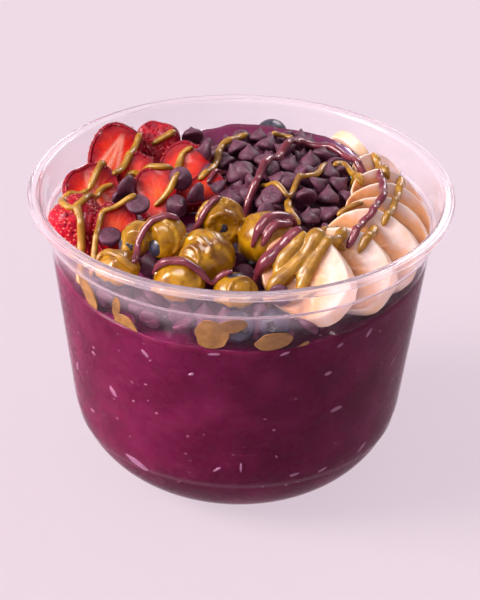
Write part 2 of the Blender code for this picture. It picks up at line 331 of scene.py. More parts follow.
def berry_look():
    look = Look("berry_skin", 0.40, coat_weight=0.25, coat_roughness=0.2)
    bloom = look.noise(330.0, 4.0)
    base = look.ramp(bloom, (0.25, "15121f"), (0.5, "262438"), (0.75, "4d4a66"))
    base = look.blend(look.attribute("crown"), base, "120d16")
    look.colour(base)
    look.rough(look.levels(bloom, 0.3, 0.7, 0.25, 0.55))
    look.bump(look.noise(1200.0, 3.0), 0.08, 0.4)
    return look.material


def sauce_look(name, dark, middle, light, low_rough, high_rough):
    look = Look(name, low_rough, coat_weight=0.22, coat_roughness=0.12,
                subsurface_weight=0.10, subsurface_scale=0.0015, specular_ior_level=0.35)
    tint = look.noise(190.0, 4.0, None, 0.8)
    look.colour(look.ramp(tint, (0.28, dark), (0.5, middle), (0.74, light)))
    look.patchy_rough(500.0, low_rough, high_rough)
    look.bump(look.noise(700.0, 3.0), 0.12, 0.35)
    return look.material


# ---------------------------------------------------------------- mesh helpers

def surface(rings):
    """Vertices and faces of a closed skin through rings of equal length."""
    count = len(rings[0])
    verts = [tuple(point) for ring in rings for point in ring]
    faces = []
    for k in range(len(rings) - 1):
        for i in range(count):
            j = (i + 1) % count
            faces.append((k * count + i, k * count + j,
                          (k + 1) * count + j, (k + 1) * count + i))
    for k, flip in ((0, True), (len(rings) - 1, False)):
        centre = len(verts)
        verts.append(tuple(np.mean(rings[k], axis=0)))
        for i in range(count):
            pair = (k * count + i, k * count + (i + 1) % count)
            faces.append((pair[1], pair[0], centre) if flip else (*pair, centre))
    return verts, faces


def joined(parts):
    """One list of vertices and faces from several."""
    verts, faces = [], []
    for part_verts, part_faces in parts:
        start = len(verts)
        verts += list(part_verts)
        faces += [tuple(start + i for i in face) for face in part_faces]
    return verts, faces


def as_mesh(name, verts, faces):
    mesh = bpy.data.meshes.new(name)
    mesh.from_pydata([tuple(v) for v in verts], [], faces)
    bm = bmesh.new()
    bm.from_mesh(mesh)
    bmesh.ops.recalc_face_normals(bm, faces=bm.faces[:])
    bm.to_mesh(mesh)
    bm.free()
    mesh.shade_smooth()
    return mesh


def add_piece(name, mesh, material, nodes=()):
    mesh.name = name
    mesh.materials.clear()
    mesh.materials.append(material)
    item = bpy.data.objects.new(name, mesh)
    bpy.context.scene.collection.objects.link(item)
    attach(item, BODY)
    if nodes:
        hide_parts(*nodes)
    return item


def paint(mesh, name, values, kind="FLOAT"):
    layer = mesh.attributes.new(name, kind, "POINT")
    field = "vector" if kind == "FLOAT_VECTOR" else "value"
    layer.data.foreach_set(field, np.asarray(values, np.float32).ravel())


def bake_modifiers(item):
    """The mesh of an unlinked helper object after its modifiers."""
    bpy.context.scene.collection.objects.link(item)
    graph = bpy.context.evaluated_depsgraph_get()
    mesh = bpy.data.meshes.new_from_object(item.evaluated_get(graph))
    bpy.data.objects.remove(item, do_unlink=True)
    mesh.shade_smooth()
    return mesh


def fused(parts, voxel_mm):
    """Overlapping closed skins melted into one."""
    verts, faces = joined(parts)
    item = bpy.data.objects.new("melt", as_mesh("melt", verts, faces))
    melt = item.modifiers.new("Melt", "REMESH")
    melt.mode = "VOXEL"
    melt.voxel_size = voxel_mm * MM
    even = item.modifiers.new("Even", "SMOOTH")
    even.factor = 0.5
    even.iterations = 3
    return bake_modifiers(item)


def wave(point_mm, pitch_mm, seed=0.0):
    """Smooth noise between -1 and 1 that repeats in no direction."""
    return noise.noise(Vector(point_mm) / pitch_mm + Vector((seed, seed * 1.7, 3.1 * seed)))


def eased(share):
    """A share from 0 to 1 that starts and ends gently."""
    return share * share * (3.0 - 2.0 * share)


def circle(count):
    turn = np.arange(count) * math.tau / count
    return np.cos(turn), np.sin(turn)


def lathe(section, steps):
    """Rings of a turned shape from (radius, height) pairs in millimetres."""
    c, s = circle(steps)
    return [np.stack([r * c, r * s, np.full(steps, z)], 1) * MM for r, z in section]


def rounded(points, radius):
    """An outline with each inner corner replaced by a small arc."""
    result = [points[0]]
    for before, here, after in zip(points, points[1:], points[2:]):
        here, legs = np.array(here), []
        for other in (np.array(before), np.array(after)):
            leg = other - here
            size = np.linalg.norm(leg)
            legs.append(here + leg / size * min(radius, size * 0.45))
        for share in (0.0, 0.33, 0.67, 1.0):
            result.append(tuple((1 - share) ** 2 * legs[0] + 2 * share * (1 - share) * here
                                + share ** 2 * legs[1]))
    return result + [points[-1]]


def around(table, bearing):
    """Row of a table whose first column is a bearing in degrees, read in between."""
    rows = [*table, (table[0][0] + 360.0, *table[0][1:])]
    bearing = (bearing - rows[0][0]) % 360.0 + rows[0][0]
    for low, high in zip(rows, rows[1:]):
        if bearing <= high[0]:
            share = eased((bearing - low[0]) / (high[0] - low[0]))
            return [p + (q - p) * share for p, q in zip(low[1:], high[1:])]
    return list(rows[-1][1:])


# ---------------------------------------------------------------- tub

def wall_radius(z):
    return WALL_RADIUS_AT_BASE + WALL_TAPER * z


def inner_radius(z):
    """Radius of the tub's inside below the shelf."""
    tilt_z = CORNER_CENTRE_Z - (CORNER_RADIUS - WALL) * math.sin(math.atan(WALL_TAPER))
    if z >= tilt_z:
        return wall_radius(z) - WALL
    drop = CORNER_CENTRE_Z - z
    return CORNER_CENTRE_R + math.sqrt(max((CORNER_RADIUS - WALL) ** 2 - drop ** 2, 0.0))


def keep_inside(mesh):
    """Presses a piece flat where it would reach into the tub's wall."""
    for vert in mesh.vertices:
        x, y, z = vert.co / MM
        room = inner_radius(z) - FRUIT_GAP + (SHELF_STEP if z > WIDE_Z else 0.0)
        share = min(room / max(math.hypot(x, y), 1.0), 1.0)
        vert.co.x *= share
        vert.co.y *= share
    mesh.update()


def corner_points(radius, low, steps):
    """The rounded bottom corner from height low up to where the wall runs straight."""
    start = math.asin((low - CORNER_CENTRE_Z) / radius)
    end = -math.atan(WALL_TAPER)
    angles = [start + (end - start) * i / steps for i in range(steps + 1)]
    return [(CORNER_CENTRE_R + radius * math.cos(a), CORNER_CENTRE_Z + radius * math.sin(a))
            for a in angles]


def tub_section():
    """The tub's closed outline from the middle of the floor, up the inside and back."""
    shelf_in = wall_radius(SHELF_Z) - WALL
    band_foot = shelf_in + SHELF_STEP
    inside = [(0.0, FLOOR_Z), (12.0, FLOOR_Z)]
    inside += corner_points(CORNER_RADIUS - WALL, FLOOR_Z, 22)
    inside += [(wall_radius(z) - WALL, z) for z in (45.0, 60.0, 75.0, 85.0)]
    rim = [
        (shelf_in, SHELF_Z),
        (band_foot, SHELF_Z + 0.9),
        (band_foot + 1.0, HEIGHT - 5.0),
        (RIM_INNER_RADIUS - 0.35, HEIGHT - 1.2),
        (RIM_INNER_RADIUS + 0.25, HEIGHT - 0.15),
        (RIM_INNER_RADIUS + 1.2, HEIGHT),
        (RIM_RADIUS - 1.7, HEIGHT - 0.35),
        (RIM_RADIUS - 0.9, HEIGHT),
        (RIM_RADIUS, HEIGHT - 0.5),
        (RIM_RADIUS, HEIGHT - LIP_DROP),
        (RIM_RADIUS - 0.8, HEIGHT - LIP_DROP),
        (RIM_RADIUS - 0.95, HEIGHT - WALL - 0.2),
        (RIM_INNER_RADIUS + 1.3, HEIGHT - WALL - 0.1),
        (RIM_INNER_RADIUS + 0.75, HEIGHT - 1.6),
        (band_foot + 1.0 + WALL, HEIGHT - 5.0),
        (band_foot + WALL, SHELF_Z + 0.4),
        (shelf_in + WALL, SHELF_Z - 0.5),
    ]
    outside = [(wall_radius(z), z) for z in (85.0, 75.0, 60.0, 45.0)]
    outside += corner_points(CORNER_RADIUS, 0.0, 56)[::-1]
    bead = [(r + 0.22 * math.exp(-((z - BEAD_Z) / 0.7) ** 2), z) for r, z in outside]
    foot = [(14.0, 0.0), (13.0, 0.35), (0.0, 0.35)]
    return inside + rounded([inside[-1], *rim, bead[0]], 0.35)[1:-1] + bead + foot


def make_tub():
    section = [(max(r, 0.01), z) for r, z in tub_section()]
    verts, faces = surface(lathe(section, TUB_STEPS))
    mesh = as_mesh("tub", verts, faces)
    heights = np.array(verts)[:, 2] / MM
    haze = np.interp(heights, (0, 75, 90.5, 92.5, 100, 103), (0., .0, .02, .04, .06, .12))
    haze += 0.34 * np.exp(-((heights - SHELF_Z) / 0.55) ** 2)
    haze += 0.06 * np.exp(-((heights - BEAD_Z) / 0.7) ** 2)
    paint(mesh, "haze", haze)
    add_piece("tub", mesh, clear_plastic("tub_plastic", 1.36), ["bowl"])
    mesh.materials.append(clear_plastic("tub_plastic_below", 1.05))
    for face in mesh.polygons:
        face.material_index = int(face.center.z < (SHELF_Z - 1.0) * MM)


# ---------------------------------------------------------------- acai

HEAP_CENTRE = (14.0, 13.0)
HEAP_REACH = (
    (0, 21.5), (30, 23.5), (60, 28.5), (90, 36.0), (120, 36.0), (150, 26.0), (180, 20.5),
    (210, 19.0), (240, 22.0), (270, 30.0), (290, 30.0), (310, 24.0), (335, 21.5),
)
HEAP_HOLLOW = 7.0                 # how much the acai sinks under the chips
ACAI_MIDDLE_Z = 91.0
# bearing in degrees, radius of the high part's edge, radius of the slope's foot, height
# of the edge, how sharply the top bends to it
ACAI_EDGE = (
    (-150, 35.0, 47.0, 85.0, 2.0),
    (-120, 35.0, 48.0, 83.5, 2.0),
    (-90, 35.0, 48.0, 83.5, 2.0),
    (-60, 32.0, 50.0, 88.0, 3.0),
    (-30, 33.0, 51.0, 88.0, 3.0),
    (0, 33.0, 51.0, 88.0, 3.0),
    (18, 35.0, 54.0, 90.0, 3.0),
    (33, 42.0, 52.0, 91.5, 4.0),
    (36, 52.0, 55.4, 97.6, 3.0),
    (50, 54.0, 58.0, 98.6, 3.0),
    (60, 54.6, 58.4, 99.0, 3.0),
    (72, 54.8, 58.4, 98.8, 4.0),
    (90, 55.8, 59.4, 98.6, 4.0),
    (104, 55.0, 59.0, 97.4, 4.0),
    (122, 27.0, 56.0, 86.2, 2.0),
    (140, 28.0, 54.0, 83.0, 2.0),
    (165, 32.0, 48.0, 85.0, 2.0),
    (192, 33.0, 46.0, 85.0, 2.0),
)
ACAI_REACH = 0.3                  # how far it reaches into the wall
# bearing in degrees and how much higher than at the front it stands at the wall
FILL_RISE = (
    (-165, 4.0), (-145, 3.0), (-130, 1.6), (-115, 0.4), (-95, 0.0), (-75, 0.2), (-58, 1.4),
    (-42, 3.0), (-25, 4.2), (0, 4.6), (40, 4.0), (90, 3.0), (140, 3.6), (180, 4.2),
)
ACAI_STEPS = 240
SIDE_STEPS = 22                   # rings from the round corner up to the fill line
SIDE_FOOT_Z = 32.0
PAINTED_SHEEN_BEARING = 46.0              # where a pale sheen is painted on the crest, and its radius
PAINTED_SHEEN_RADIUS = 51.5


def acai_top(radius, row):
    edge, foot, edge_z, bend = row
    if radius <= edge:
        return ACAI_MIDDLE_Z + (edge_z - ACAI_MIDDLE_Z) * (radius / edge) ** bend
    if radius >= foot:
        return FILL_Z
    return edge_z + (FILL_Z - edge_z) * eased((radius - edge) / (foot - edge))


def under_heap(x, y):
    """1 well under the heap of chips, 0 outside it."""
    dx, dy = x - HEAP_CENTRE[0], y - HEAP_CENTRE[1]
    reach = around(HEAP_REACH, math.degrees(math.atan2(dy, dx)))[0]
    return eased(min(max((reach + 1.0 - math.hypot(dx, dy)) / 5.0, 0.0), 1.0))


def fill_rise(bearing):
    """How much higher than at the front the acai stands against the wall (mm)."""
    return around(FILL_RISE, bearing)[0]


def make_acai():
    side = [(0.01, FLOOR_Z - ACAI_REACH)]
    side += [(r + ACAI_REACH, z) for r, z in corner_points(CORNER_RADIUS - WALL,
                                                         FLOOR_Z - ACAI_REACH, 24)]
    side += [(wall_radius(z) - WALL + ACAI_REACH, z)
             for z in np.linspace(SIDE_FOOT_Z, FILL_Z, SIDE_STEPS)]
    rings = lathe(side, ACAI_STEPS)
    wall = wall_radius(FILL_Z) - WALL + ACAI_REACH
    bearings = [i * 360.0 / ACAI_STEPS for i in range(ACAI_STEPS)]
    rises = [fill_rise(bearing) for bearing in bearings]
    for (radius, z), ring in zip(side[-SIDE_STEPS:], rings[-SIDE_STEPS:]):
        share = (z - SIDE_FOOT_Z) / (FILL_Z - SIDE_FOOT_Z)
        for rise, point in zip(rises, ring):
            lift = rise * share ** 2
            if share == 1.0:
                lift += 0.5 * wave((point[0] / MM, point[1] / MM, 0), 17.0)
            point[:2] *= (radius + WALL_TAPER * lift) / radius
            point[2] += lift * MM
    out_shares = (0.06, 0.3, 0.65)
    slope = np.linspace(0.0, 1.0, 16)[:-1]
    top = np.linspace(1.0, 0.03, 34)
    rows = [around(ACAI_EDGE, bearing) for bearing in bearings]
    c, s = circle(ACAI_STEPS)
    painted_sheen = [0.0] * (len(side) * ACAI_STEPS)
    for kind, shares in (("out", out_shares), ("slope", slope), ("top", top)):
        for share in shares:
            ring = np.zeros((ACAI_STEPS, 3))
            for i, row in enumerate(rows):
                edge, foot = row[:2]
                radius = {"out": wall + (foot - wall) * share,
                          "slope": foot + (edge - foot) * share,
                          "top": edge * share}[kind]
                z = acai_top(radius, row)
                if kind == "out":
                    z -= 0.5 * math.sin(math.pi * min(share * 1.4, 1.0))
                    z += rises[i] * (1.0 - share) ** 1.5
                spot = (radius * c[i], radius * s[i], z)
                lump = 0.55 * wave(spot, 9.0) + 0.25 * wave(spot, 3.6, 5.0)
                lump -= HEAP_HOLLOW * under_heap(spot[0], spot[1])
                ring[i] = (spot[0] * MM, spot[1] * MM, (z + lump) * MM)
                # the painted sheen, strongest at its bearing and radius on the crest
                streak = (bearings[i] - PAINTED_SHEEN_BEARING) / 9.0
                across = (radius - PAINTED_SHEEN_RADIUS + 0.5 * streak) / 2.0
                painted_sheen.append(math.exp(-streak * streak - across * across))
            rings.append(ring)
    verts, faces = surface(rings)
    mesh = as_mesh("acai_fill", verts, faces)
    paint(mesh, "painted_sheen", painted_sheen + [0.0, 0.0])
    count = len(side) * ACAI_STEPS
    paint(mesh, "top", [0.0] * count + [1.0] * (len(verts) - count))
    return add_piece("acai_fill", mesh, acai_look(), ["acai"])


# pale bits pressed against the wall: bearing and height of the middle, half length and
# half height (mm), lean (degrees)
FLECKS = (
    (-157, 46.0, 2.6, 0.8, 62), (-134, 48.6, 2.2, 1.1, -48), (-149, 32.0, 1.8, 1.3, 20),
    (-127, 21.6, 4.6, 1.7, -24), (-56, 48.0, 2.3, 0.9, 8), (-47, 75.6, 1.9, 0.7, 58),
    (-69, 23.6, 1.6, 0.6, 10), (-58, 22.4, 1.8, 0.6, 16), (-40, 24.5, 2.4, 0.8, 44),
    (-76, 76.0, 1.7, 0.5, 20), (-97, 76.0, 2.0, 0.5, 6), (-96, 27.8, 1.5, 0.5, 40),
    (-88, 29.2, 0.4, 2.0, 0), (-119, 70.8, 1.7, 0.7, -42), (-104, 66.7, 1.0, 0.5, 30),
    (-61, 64.5, 1.4, 0.7, 10), (-58, 74.8, 1.2, 0.6, 24), (-142, 60.0, 1.0, 0.5, -20),
    (-30, 55.0, 1.6, 0.6, 40), (150, 40.0, 2.2, 0.8, 30), (95, 58.0, 2.0, 0.9, -20),
    (35, 30.0, 2.6, 0.9, 15), (120, 22.0, 3.0, 1.0, 35), (10, 62.0, 1.8, 0.7, -35),
)
SMALL_FLECKS = 90


def side_radius(z):
    """Radius of the acai's side where it lies against the wall."""
    if z >= CORNER_CENTRE_Z:
        return wall_radius(z) - WALL + ACAI_REACH
    reach = CORNER_RADIUS - WALL + ACAI_REACH
    return CORNER_CENTRE_R + math.sqrt(reach ** 2 - (CORNER_CENTRE_Z - z) ** 2)


def make_flecks():
    """Flat pale bits that stand just proud of the acai's side."""
    some = random.Random(23)
    rows = list(FLECKS)
    for _ in range(SMALL_FLECKS):
        rows.append((some.uniform(-180, 180), some.uniform(14, 76), some.uniform(0.25, 0.7),
                     some.uniform(0.15, 0.35), some.uniform(-60, 60)))
    parts = []
    for k, (bearing, z, half_long, half_high, lean) in enumerate(rows):
        slope = side_radius(z + 0.5) - side_radius(z - 0.5)
        place = (Matrix.Rotation(math.radians(bearing), 4, "Z")
                 @ Matrix.Translation((side_radius(z), 0.0, z))
                 @ Matrix.Rotation(math.atan(slope), 4, "Y")
                 @ Matrix.Rotation(math.radians(lean), 4, "X"))
        steps, rings = 20, []
        c, s = circle(steps)
        for row in range(1, 8):
            a = math.pi * row / 8 - math.pi / 2
            ring = []
            for i in range(steps):
                edge = math.cos(a) * (1 + 0.30 * wave((2 * c[i], 2 * s[i], 0.0), 1.0, k))
                ring.append(place @ Vector((0.22 * math.sin(a), edge * half_long * c[i],
                                            edge * half_high * s[i])) * MM)
            rings.append(np.array(ring))
        parts.append(surface(rings))
    return as_mesh("acai_flecks", *joined(parts))


# ---------------------------------------------------------------- strawberries

# centre, turn about Z, lean back, spin in plane (degrees), width and length of the
# berry, where the two cuts pass its core, and how deep the notch at its top is
STRAWBERRY_SLICES = (
    ((-44.5, 32.3, 95.0), 4, 49, -22, 22.5, 28.0, -3.0, 3.0, 0.05),
    ((-30.6, 41.2, 93.5), -12, 50, -6, 20.0, 25.0, -3.0, 4.0, 0.10),
    ((-49.4, 12.8, 91.2), 14, 42, 20, 23.5, 25.0, -3.0, 3.0, 0.10),
    ((-37.1, 22.2, 92.4), -8, 46, -20, 15.0, 23.0, -2.5, 2.5, 0.12),
    ((-20.3, 24.9, 93.7), -14, 42, -12, 22.5, 26.0, -3.0, 3.0, 0.08),
    ((-28.2, 4.8, 95.8), -5, 36, 10, 19.0, 24.0, -3.0, 3.0, 0.12),
    ((-13.7, 10.8, 94.4), -25, 30, -40, 15.0, 20.0, -2.5, 2.5, 0.05),
    ((-52.6, -5.0, 87.9), 22, 50, 25, 23.5, 26.5, 0.0, 9.6, 0.10),
    ((-41.5, -12.0, 91.6), 4, 46, -10, 18.0, 22.0, -3.0, 3.0, 0.12),
)
SKIN_SIDE = (2, 8)                # slices that lie with their seeded skin up
PALE_CORE = 0.12                  # how pale the streaks in a slice's middle are
PALE_CORES = {1: 1.0, 3: 0.7}     # the same for slices that differ
SEEDLESS = 2                      # no seeds can be told on this one
SLICE_STEPS = 128
SEED_PITCH = 2.3
SEED_SHAPE = Matrix.Diagonal((0.27, 0.44, 0.24, 1.0))
DOME_SHARE = 0.36                 # height of a domed slice over its core, in widths


def berry_outline(width, length, level, notch):
    """The cut berry's outline at a height over its core, as points round it."""
    c, s = circle(SLICE_STEPS)
    low, high = np.zeros(SLICE_STEPS), np.full(SLICE_STEPS, width + length)
    for _ in range(30):
        reach = (low + high) / 2
        along = 2 * reach * s / length
        half = (0.80 + 0.20 * along) * width / 2
        inside = (reach * c / half) ** 2 + (level / half) ** 2 + along ** 2 < 1.0
        low, high = np.where(inside, reach, low), np.where(inside, high, reach)
    x, y = low * c, low * s
    dent = notch * np.exp(-(x / (0.16 * width)) ** 2) * length / 2
    return np.stack([x, y - dent * np.clip(s, 0.0, 1.0), np.full(SLICE_STEPS, level)], 1)


def core_streaks(x, y, seed):
    """Pale streaks that fan out along the middle of a cut face, in parts of its size."""
    most = 0.0
    for k, side in enumerate((-0.30, -0.05, 0.24)):
        side += 0.05 * math.sin(seed + 2.1 * k)
        off = (x - side * (0.34 - y)) / (0.022 + 0.030 * (0.4 - y))
        most = max(most, math.exp(-off * off))
    ends = min(max((0.36 - y) / 0.10, 0.0), 1.0) * min(max((y + 0.34) / 0.16, 0.0), 1.0)
    return most * ends


def make_strawberry(number, row):
    """Mesh of one slice, and the matrix that puts it in its place."""
    centre, turn, lean, spin, width, length, low, high, notch = row
    domed = number in SKIN_SIDE
    seed = 11.0 * number
    rings, rim, skin, side = [], [], [], []

    def add(ring, ring_rim, ring_skin, ring_side=0.0):
        rings.append(ring)
        rim.append(ring_rim)
        skin.append(ring_skin)
        side.append(ring_side)

    under = berry_outline(width, length, low, notch)
    for share in np.linspace(0.04, 0.97, 18):
        add(under * (share, share, 1.0), share, 0.0)
    top_level = min(DOME_SHARE * width, high) if domed else high
    for share in np.linspace(0.0, 1.0, 40 if domed else 14):
        level = low + (top_level - low) * (math.sin(share * math.pi / 2) if domed else share)
        ring = berry_outline(width, length, level, notch)
        soft = 0.97 if share in (0.0, 1.0) and not domed else 1.0
        add(ring * (soft, soft, 1.0), 1.0, 1.0, 0.0 if domed else 1.0)
    last = rings[-1].copy()
    for share in np.linspace(0.955, 0.03, 16 if domed else 26):
        ring = last * (share, share, 1.0)
        ring[:, 2] += 0.07 * width * (1.0 - share ** 2) if domed else 0.0
        add(ring, share, 1.0 if domed else max(0.0, (share - 0.93) / 0.03))
    turned = (Matrix.Rotation(math.radians(turn), 4, "Z")
              @ Matrix.Rotation(math.radians(lean), 4, "X")
              @ Matrix.Rotation(math.radians(spin), 4, "Z"))
    points, fibre, core = [], [], []
    c, s = circle(SLICE_STEPS)
    for k, ring in enumerate(rings):
        for i, (x, y, z) in enumerate(ring):
            share = rim[k]
            swell = 1.0 + 0.035 * wave((3 * c[i], 3 * s[i], 0.0), 1.0, seed)
            x, y = x * swell, y * swell
            if skin[k] >= 0.5:
                pit = math.sin(x * math.tau / SEED_PITCH) * math.sin(y * math.tau / SEED_PITCH)
                z += 0.10 * pit * (1.0 if domed else 0.5)
            else:
                ray = wave((9 * c[i], 9 * s[i], 2.0 * share), 1.6, seed)
                z += (0.09 * ray * min(share * 2, 1.0) * (1.15 - share)
                      + 0.35 * wave((x, y, z), 7.0, seed)) * (1 if k > 18 else -1)
            points.append((x, y, z))
            fibre.append((c[i], s[i], 0.18 * share + seed))
            streaks = core_streaks(x / width, y / length, seed) * (1.0 - skin[k])
            core.append(streaks * PALE_CORES.get(number, PALE_CORE))
    place = Matrix.Translation(centre) @ turned
    count = SLICE_STEPS
    verts, faces = surface([np.array([place @ Vector(p) for p in points[k:k + count]]) * MM
                            for k in range(0, len(points), count)])
    mesh = as_mesh(f"strawberry_{number}", verts, faces)
    paint(mesh, "rim", np.append(np.repeat(rim, count), (0.0, 0.0)))
    paint(mesh, "skin", np.append(np.repeat(skin, count), (0.0, float(domed))))
    paint(mesh, "side", np.append(np.repeat(side, count), (0.0, 0.0)))
    paint(mesh, "core", core + [0.0, 0.0])
    paint(mesh, "fibre", fibre + [(0, 0, seed)] * 2, "FLOAT_VECTOR")
    return mesh, place


def seeds_of(number, row, place):
    """Small seeds in rows over the skin of one slice."""
    width, length, low, high = row[4:8]
    domed = number in SKIN_SIDE
    parts = []
    rows = 8 if domed else 2
    for k in range(rows):
        share = (k + 0.5) / rows
        level = (DOME_SHARE * width * math.sin(share * math.pi / 2) if domed
                 else low + (high - low) * share)
        outline = berry_outline(width, length, level, row[8])
        round_mm = float(np.linalg.norm(np.roll(outline, 1, 0) - outline, axis=1).sum())
        count = max(int(round_mm / SEED_PITCH / 1.1), 3)
        for i in range(count):
            spot = outline[int((i + 0.5 * (k % 2)) * SLICE_STEPS / count) % SLICE_STEPS]
            jitter = Vector((RNG.uniform(-0.3, 0.3), RNG.uniform(-0.3, 0.3), 0.0))
            out = Vector((spot[0], spot[1], level * 1.6)).normalized()
            centre = Vector(spot) + jitter * 0.5 + out * 0.05
            turned = out.to_track_quat("Z", "Y").to_matrix().to_4x4()
            parts.append(ball(place @ Matrix.Translation(centre) @ turned @ SEED_SHAPE, 8, 5))
    return parts


def ball(matrix, steps, rows):
    """A closed ball under a matrix in millimetres, given in metres."""
    c, s = circle(steps)
    rings = []
    for k in range(1, rows):
        a = math.pi * k / rows - math.pi / 2
        rings.append([matrix @ Vector((math.cos(a) * c[i], math.cos(a) * s[i], math.sin(a)))
                      * MM for i in range(steps)])
    return surface([np.array(ring) for ring in rings])


# ---------------------------------------------------------------- bananas

# centre, bearing round the bowl (degrees), how far the face leans outwards, round
# towards the front and upwards, half length, half width, thickness
BANANA_SLICES = (
    ((22.0, -44.1, 94.2), -61, 0.45, 0.52, 0.66, 15.5, 13.0, 5.4),
    ((34.7, -35.4, 92.6), -42, 0.42, 0.60, 0.64, 15.5, 13.0, 5.2),
    ((43.0, -24.4, 93.9), -28, 0.40, 0.66, 0.62, 15.5, 13.0, 5.0),
    ((46.6, -14.5, 93.6), -16, 0.38, 0.68, 0.62, 15.5, 13.0, 5.0),
    ((49.0, -3.7, 93.2), -4, 0.38, 0.66, 0.63, 15.5, 13.0, 5.0),
    ((49.0, 9.1, 92.5), 8, 0.42, 0.58, 0.62, 15.0, 12.5, 5.0),
    ((47.6, 24.6, 91.8), 26, 0.40, 0.52, 0.62, 13.0, 12.0, 4.6),
    ((37.6, 45.8, 91.0), 50, 0.95, 0.15, 0.20, 9.5, 10.0, 3.6),
)
BANANA_BIAS = 0.5
BANANA_STEPS = 112


def banana_place(row):
    centre, bearing, outward, frontward, upward = row[:5]
    angle = math.radians(bearing)
    out = Vector((math.cos(angle), math.sin(angle), 0.0))
    front = Vector((math.sin(angle), -math.cos(angle), 0.0))
    normal = (out * outward + front * frontward + Vector((0, 0, upward))).normalized()
    along = -(out - normal * out.dot(normal)).normalized()
    across = normal.cross(along)
    return (Matrix.Translation(centre)
            @ Matrix((along, across, normal)).transposed().to_4x4())


def make_banana(number, row):
    half_long, half_wide, thick = row[5:]
    place = banana_place(row)
    over = BANANA_SLICES[number - 2] if number > 1 else None
    into_over = banana_place(over).inverted() if over else None
    seed = 5.0 + 7.0 * number
    c, s = circle(BANANA_STEPS)
    half = thick / 2
    profile = [(share, -half) for share in np.linspace(0.03, 0.95, 20)]
    profile += [(0.975, -half + 0.12), (0.992, -half + 0.4), (1.0, -half + 0.9)]
    profile += [(1.0, z) for z in np.linspace(-half + 1.3, half - 1.3, 5)]
    profile += [(1.0, half - 0.9), (0.992, half - 0.4), (0.975, half - 0.12)]
    profile += [(share, half) for share in np.linspace(0.95, 0.03, 30)]
    rings, rim, skin, core, fibre, seam_shade_and_sauce = [], [], [], [], [], []
    for share, z in profile:
        ring = []
        for i in range(BANANA_STEPS):
            facets = 1.0 + 0.018 * math.cos(5 * math.tau * i / BANANA_STEPS + seed)
            swell = (facets + 0.03 * wave((2 * c[i], 2 * s[i], 0.0), 1.0, seed)
                     + 0.012 * wave((9 * c[i], 9 * s[i], 0.0), 1.0, seed))
            x, y = half_long * share * swell * c[i], half_wide * share * swell * s[i]
            ray = wave((5 * c[i], 5 * s[i], 1.5 * share), 1.5, seed)
            lift = (0.12 * ray + 0.30 * wave((x, y, 0.0), 8.0, seed)) * (1.0 - share ** 6)
            lift += 0.10 * wave((x, y, 0.0), 1.7, seed)
            dip = -0.35 * math.exp(-(share / 0.22) ** 2)
            height = z + (lift + dip if z > 0 else -lift * 0.5)
            ring.append(place @ Vector((x + z * BANANA_BIAS, y, height)) * MM)
            rim.append(share)
            skin.append(1.0 if share >= 0.985 else 0.0)
            # painted shade: faces turn orange in the seam under the slice that lies over them
            # and towards their outer end, and the back slice half over; on the front slice the
            # stain is the gold sauce on its left part
            spot = into_over @ place @ Vector((x, y, z)) if over else None
            beyond = math.hypot(spot.x / over[5], spot.y / over[6]) if over else 2.0
            stain = (30.0 - (place @ Vector((x, y, z))).x) / 9.0
            near = (1.46 - beyond) / 0.44 if over else stain
            near += 0.9 * max(0.0, -share * c[i] - 0.40) if over else 0.0
            near += 0.5 if number == len(BANANA_SLICES) else 0.0
            seam_shade_and_sauce.append(min(max(near, 0.0), 1.0) if z > 0 else 0.0)
            arms = 0.5 + 0.5 * math.cos(3 * math.tau * i / BANANA_STEPS + seed)
            reach = 0.10 + 0.26 * arms ** 4
            core.append(max(0.0, 1.0 - (share / reach) ** 2) * (0.4 + 0.6 * arms))
            fibre.append((c[i], s[i], 0.3 * share + seed))
        rings.append(np.array(ring))
    mesh = as_mesh(f"banana_{number}", *surface(rings))
    paint(mesh, "rim", rim + [0.0, 0.0])
    paint(mesh, "skin", skin + [0.0, 0.0])
    paint(mesh, "core", core + [0.6, 0.6])
    paint(mesh, "seam_shade_and_sauce", seam_shade_and_sauce + [0.0, 0.0])
    paint(mesh, "fibre", fibre + [(0, 0, seed)] * 2, "FLOAT_VECTOR")
    return mesh


# ---------------------------------------------------------------- blueberries

BERRY_COUNT = 11
BERRY_TILTS = {9: (1.2, 0.3), 10: (1.1, -0.2), 11: (2.7, 0.3)}
# two lie a little off their CAD place: 6 further right, 11 low behind the acai's crest
BERRY_SHIFTS = {6: (2.4, 0.0, 0.4), 11: (1.2, -0.1, -2.8)}


def berry_place(number):
    """Centre and radius of a blueberry in millimetres, from its CAD box."""
    low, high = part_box(f"blueberry_{number}")
    centre = (low + high) / 2 / MM + Vector(BERRY_SHIFTS.get(number, (0.0, 0.0, 0.0)))
    return centre, max(high.x - low.x, high.y - low.y) / 2 / MM


